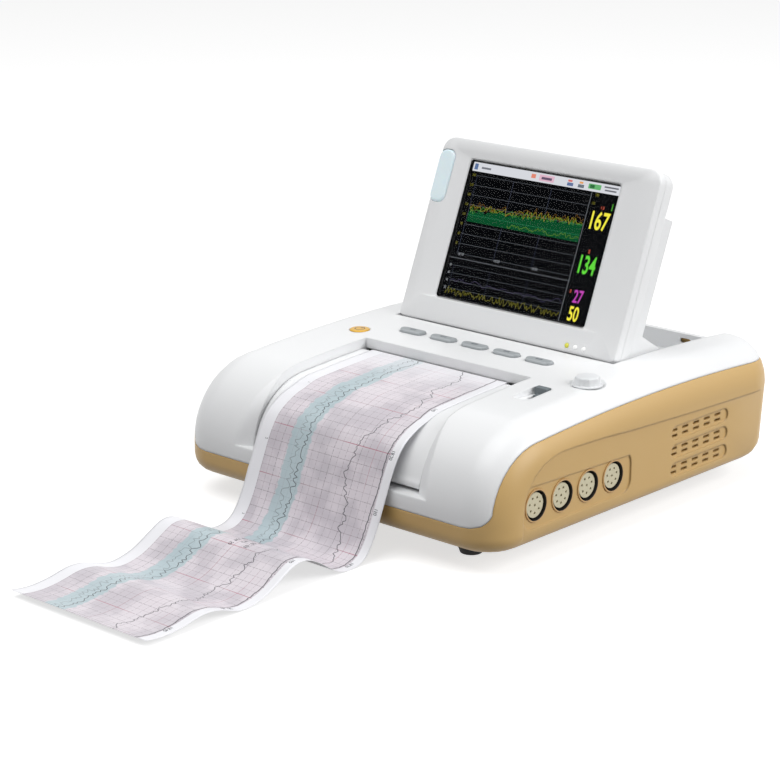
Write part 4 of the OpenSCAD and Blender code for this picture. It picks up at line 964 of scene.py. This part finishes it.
def picture():
    """What the panel shows, in mm from its lower left corner: a pale status line, two charts with fine
    grids, a green band with noisy traces and a column for the figures. Places are shares of its size."""
    mat = glowing("lcd_picture")
    t = mat.node_tree
    u, v = uv_place(t)
    w, h = LCD_SIZE
    shade = linear(6, 7, 9)
    chart_left, chart_right, axis, trace_end = 4.5, 0.82 * w, 0.05 * w, 0.815 * w
    pitch, low_pitch = 0.0725 * h, 0.056 * h

    def lay(mask, colour, strength=1.0):
        """A colour laid over the picture where the mask is 1."""
        nonlocal shade
        shade = blend_colour(t, times(t, mask, strength), shade, linear(*colour))

    def rows(first, step, count, half=0.06):
        """Level lines, the first one at a height and the others below it."""
        y = calc(t, "SUBTRACT", v, first)
        zone = boxed(t, u, y, chart_left, chart_right, -step * count + step / 2, step / 2)
        return times(t, near_line(t, y, step, half, 0.2), zone)

    def pole(x, low, high, half=0.06):
        """One upright line."""
        off = fade(t, calc(t, "ABSOLUTE", calc(t, "SUBTRACT", u, x)), half, half + 0.2)
        return times(t, off, boxed(t, u, v, 0, w, low, high))

    def curve(centre, waves, left, right, low, high, step=0.1):
        """A fine trace along u, inside a rectangle."""
        line = trace(t, v, u, centre, waves, 0.06, step, 0.14)
        return times(t, line, boxed(t, u, v, left, right, low, high))

    upper, lower = (0.33 * h, 0.905 * h), (0.03 * h, 0.235 * h)
    lay(rows(upper[1], pitch, 9), (84, 88, 94), 0.7)
    lay(rows(lower[1], low_pitch, 4), (78, 82, 88), 0.7)
    for x in (0.045, 0.30, 0.56):
        lay(pole(x * w, upper[0], upper[1]), (72, 78, 98), 0.6)
        lay(pole(x * w, lower[0], lower[1]), (66, 72, 90), 0.5)

    # Green band: flat below, ragged above, with the traces that crowd its upper edge
    edge = calc(t, "MULTIPLY_ADD", u, 0.05, 0.640 * h)
    rough = calc(t, "MULTIPLY_ADD", wander(t, u, 6.0, 5.1), 1.0, edge)
    rough = calc(t, "MULTIPLY_ADD", wander(t, u, 1.1, 2.7), 1.3, rough)
    zone = boxed(t, u, v, axis, trace_end, 0.565 * h, h)
    band = times(t, calc(t, "LESS_THAN", v, rough), zone)
    lay(band, (10, 74, 40))
    lay(times(t, rows(upper[1], pitch, 9), band), (40, 126, 84), 0.7)
    for centre, waves, colour, strength in (
            (0.8, ((1.8, 7.0, 4.4), (2.2, 0.9, 9.1)), (86, 158, 56), 0.8),
            (1.6, ((2.0, 6.0, 14.4), (2.6, 1.0, 19.1)), (170, 160, 44), 0.75),
            (2.4, ((2.2, 9.0, 24.4), (3.4, 1.4, 29.1)), (164, 116, 46), 0.45)):
        lay(curve(calc(t, "ADD", edge, centre), waves, axis, trace_end, 0, h), colour, strength)
    late = calc(t, "MULTIPLY_ADD", u, 0.012, 0.582 * h)
    late = curve(late, ((2.6, 9.0, 44.4), (1.1, 1.0, 39.1)), 0.33 * w, trace_end, 0, 0.66 * h)
    lay(late, (124, 172, 52), 0.6)

    # Lower chart: a dim curve and the ragged wave along its foot, then the lines round the charts
    dim = curve(0.128 * h, ((3.0, 11.0, 5.4), (0.8, 1.0, 3.1)), axis, trace_end, 0, h)
    lay(dim, (96, 90, 122), 0.6)
    foot = ((0.8, 6.0, 71.4), (2.3, 0.8, 63.1))
    foot = curve(0.046 * h, foot, 0.03 * w, trace_end, 0.012 * h, 0.10 * h, 0.08)
    lay(foot, (138, 134, 40), 0.8)
    lay(boxed(t, u, v, 0, chart_right, 0.286 * h, 0.293 * h), (88, 91, 96), 0.8)
    lay(pole(0.8225 * w, 0, 0.933 * h, 0.10), (120, 125, 130), 0.8)

    # Status line with its small signs
    lay(boxed(t, u, v, 0, w, 0.934 * h, h), (214, 216, 222))
    for u0, u1, v0, v1, colour in (
            (0.010, 0.034, 0.946, 0.99, (52, 92, 146)), (0.060, 0.125, 0.958, 0.972, (96, 100, 108)),
            (0.405, 0.435, 0.955, 0.985, (226, 122, 92)), (0.460, 0.560, 0.945, 0.99, (222, 176, 196)),
            (0.475, 0.545, 0.957, 0.975, (70, 60, 88)), (0.650, 0.690, 0.945, 0.968, (70, 96, 146)),
            (0.652, 0.680, 0.974, 0.988, (214, 84, 72)), (0.722, 0.762, 0.945, 0.968, (84, 96, 108)),
            (0.728, 0.752, 0.974, 0.988, (232, 150, 52)), (0.790, 0.872, 0.950, 0.986, (76, 172, 88)),
            (0.800, 0.830, 0.956, 0.980, (34, 96, 52)), (0.893, 0.985, 0.974, 0.985, (78, 80, 88)),
            (0.900, 0.975, 0.951, 0.962, (88, 90, 98))):
        lay(boxed(t, u, v, u0 * w, u1 * w, v0 * h, v1 * h), colour, 0.9)
    return fed(mat, "Emission Color", shade)


corners = np.array([(0, 0), (1, 0), (1, 1), (0, 1)], float) * LCD_SIZE
across, up = (LCD_AT[i] - LCD_SIZE[i] / 2 + corners[:, i] for i in range(2))
shown = put("lcd_shown", in_head(across, up, np.full(4, PICTURE_OUT)), [(0, 1, 2, 3)], picture(),
            sharp=None, uv=corners)
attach(shown, "display")


def lit_figures(name, colour, rows):
    """Figures that glow on the panel.

    Each row is (words, centre across and up as shares of the picture, height in mm, width, boldness).
    """
    bright = linear(*colour)
    dim = tuple(c * 0.9 for c in bright[:3]) + (1.0,)
    mat = clouded(glowing(name + "_light"), 900, 1.0, dim, bright, "Emission Color")
    parts = []
    for words, cu, cv, tall, wide, bold in rows:
        g, gf = glyphs(words, tall, wide, bold)
        middle = ((cu - 0.5) * LCD_SIZE[0], (cv - 0.5) * LCD_SIZE[1])
        g = g - (g.max(axis=0) + g.min(axis=0)) / 2 + middle
        out = np.full(len(g), FIGURES_OUT)
        parts.append((in_head(LCD_AT[0] + g[:, 0], LCD_AT[1] + g[:, 1], out), gf))
    obj = put(name, *gather(parts), mat, sharp=None)
    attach(obj, "display")


lit_figures("figures_yellow", (246, 236, 70), [
    ("167", 0.919, 0.738, 11.6, 0.66, 0.02), ("50", 0.906, 0.070, 9.2, 0.64, 0.02)])
lit_figures("figures_green", (98, 218, 62), [
    ("134", 0.914, 0.421, 11.6, 0.60, 0.02), ("1", 0.975, 0.846, 4.2, 0.7, 0.0)])
lit_figures("figures_pink", (196, 74, 190), [("27", 0.908, 0.193, 8.2, 0.64, 0.015)])
lit_figures("figures_red", (214, 96, 74), [
    ("1 2", 0.916, 0.832, 1.8, 0.9, 0.03), ("2", 0.903, 0.517, 2.2, 0.9, 0.03),
    ("3", 0.851, 0.222, 2.0, 1.0, 0.03)])
lit_figures("figures_olive", (122, 118, 36), [
    (str(240 - 30 * i), 0.021, 0.905 - 0.0725 * i, 1.7, 0.75, 0.0) for i in range(8)] + [
    ("180", 0.861, 0.915, 1.8, 0.8, 0.0), ("120", 0.85, 0.855, 1.6, 0.8, 0.0)])
lit_figures("figures_grey", (150, 154, 160), [
    ("18:10", 0.072, 0.322, 1.7, 0.9, 0.0), ("18:20", 0.325, 0.322, 1.7, 0.9, 0.0),
    ("18:30", 0.585, 0.322, 1.7, 0.9, 0.0)] + [
    ("%d" % (80 - 20 * i), 0.022, 0.235 - 0.056 * i, 1.6, 0.8, 0.0) for i in range(4)])

# Lamps of the head: a pale blue diffusing bar that wraps the upper left corner and lights
# for an alarm, and three small domed status lamps, the first one lit. The bar and the two
# unlit lamps are given a faint glow as painted light.
BAR_AT, BAR_SIZE, BAR_ROUND, BAR_EDGE = (-79.1, 92), (12.4, 33.8), 5.0, 1.6
BAR_ROOT, BAR_RIM = -9.1, 0.6
BAR_CROWN = np.array([(2.4, 0.62), (3.6, 0.64), (4.6, 0.65), (4.99, 0.65)])
LAMP_X, LAMP_UP, LAMP_PITCH, LAMP_R, LAMP_SQUAT = 48.8, 4.7, 6.4, 1.48, 0.75
LAMP_PROUD, LAMP_SHOULDER, LAMP_ROOT = 0.25, -0.3, -4.9


def bar_lens():
    """Rounded bar: a rectangle with round corners.

    It is drawn in by edge (1 - cos t) as it rises by edge sin t, and each row of the crown is its inset
    and height.
    """
    q = np.radians(np.linspace(0, 90, 9))
    turn = q[None, :] + np.radians([0, 90, 180, 270])[:, None]
    dx, dy = np.cos(turn).ravel(), np.sin(turn).ravel()
    mx = np.repeat((BAR_SIZE[0] / 2 - BAR_ROUND) * np.array([1, -1, -1, 1]), 9)
    my = np.repeat((BAR_SIZE[1] / 2 - BAR_ROUND) * np.array([1, 1, -1, -1]), 9)
    t = np.linspace(0, np.pi / 2, 8)
    inset = np.concatenate([[0, 0], BAR_EDGE * (1 - np.cos(t[1:])), BAR_CROWN[:, 0]])
    rim = BAR_RIM - BAR_EDGE * (1 - np.sin(t[1:]))
    out = np.concatenate([[BAR_ROOT, BAR_RIM - BAR_EDGE], rim, BAR_CROWN[:, 1]])
    r = BAR_ROUND - inset[:, None]
    x, y = mx + r * dx + BAR_AT[0], my + r * dy + BAR_AT[1]
    n = len(dx)
    return in_head(x.ravel(), y.ravel(), np.repeat(out, n)), closed(len(inset), n)


# The bar's faint glow is painted light that makes it paler.
lens_blue = new_material("alarm_lens", linear(226, 238, 242), 0.25, Subsurface_Weight=0.2,
                         Emission_Color=linear(214, 230, 236), Emission_Strength=0.12)
clouded(lens_blue, 60, 2.0, linear(222, 235, 240), linear(232, 242, 245))
lens = put("alarm_bar", *bar_lens(), lens_blue)
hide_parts("alarm_lens")
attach(lens, "display")


def dome(x):
    """Small round lamp: a shaft, then a quarter of an ellipse up to the crown, with a height of
    LAMP_SQUAT times its radius."""
    a = np.linspace(0.05, math.pi / 2, 8)
    rise = list(zip(LAMP_R * np.cos(a), LAMP_SHOULDER + LAMP_SQUAT * LAMP_R * np.sin(a)))
    rise[-1] = (0, rise[-1][1])
    shaft = [(0, LAMP_ROOT), (LAMP_R, LAMP_ROOT), (LAMP_R, LAMP_SHOULDER)]
    v, f = turned(shaft + rise, (0, 0, 0), steps=32)
    return in_head(x + v[:, 0] / MM, LAMP_UP + v[:, 1] / MM, LAMP_PROUD + v[:, 2] / MM), f


for i, (word, colour) in enumerate((("lit", (206, 204, 74)), ("white", (246, 246, 246)),
                                    ("clear", (246, 246, 246)))):
    bright, shaded = linear(*colour), linear(*(int(c * 0.94) for c in colour))
    # All three glow a little: the first is lit, and on the white and the clear lamp the glow is painted
    # light.
    mat = new_material("lamp_" + word, bright, 0.25, Emission_Color=bright, Emission_Strength=0.25)
    v, f = dome(LAMP_X + i * LAMP_PITCH)
    led = put("status_lamp_" + word, v, f, clouded(mat, 500, 1.0, bright, shaded))
    if i == 0:
        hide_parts("status_leds")
    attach(led, "display")
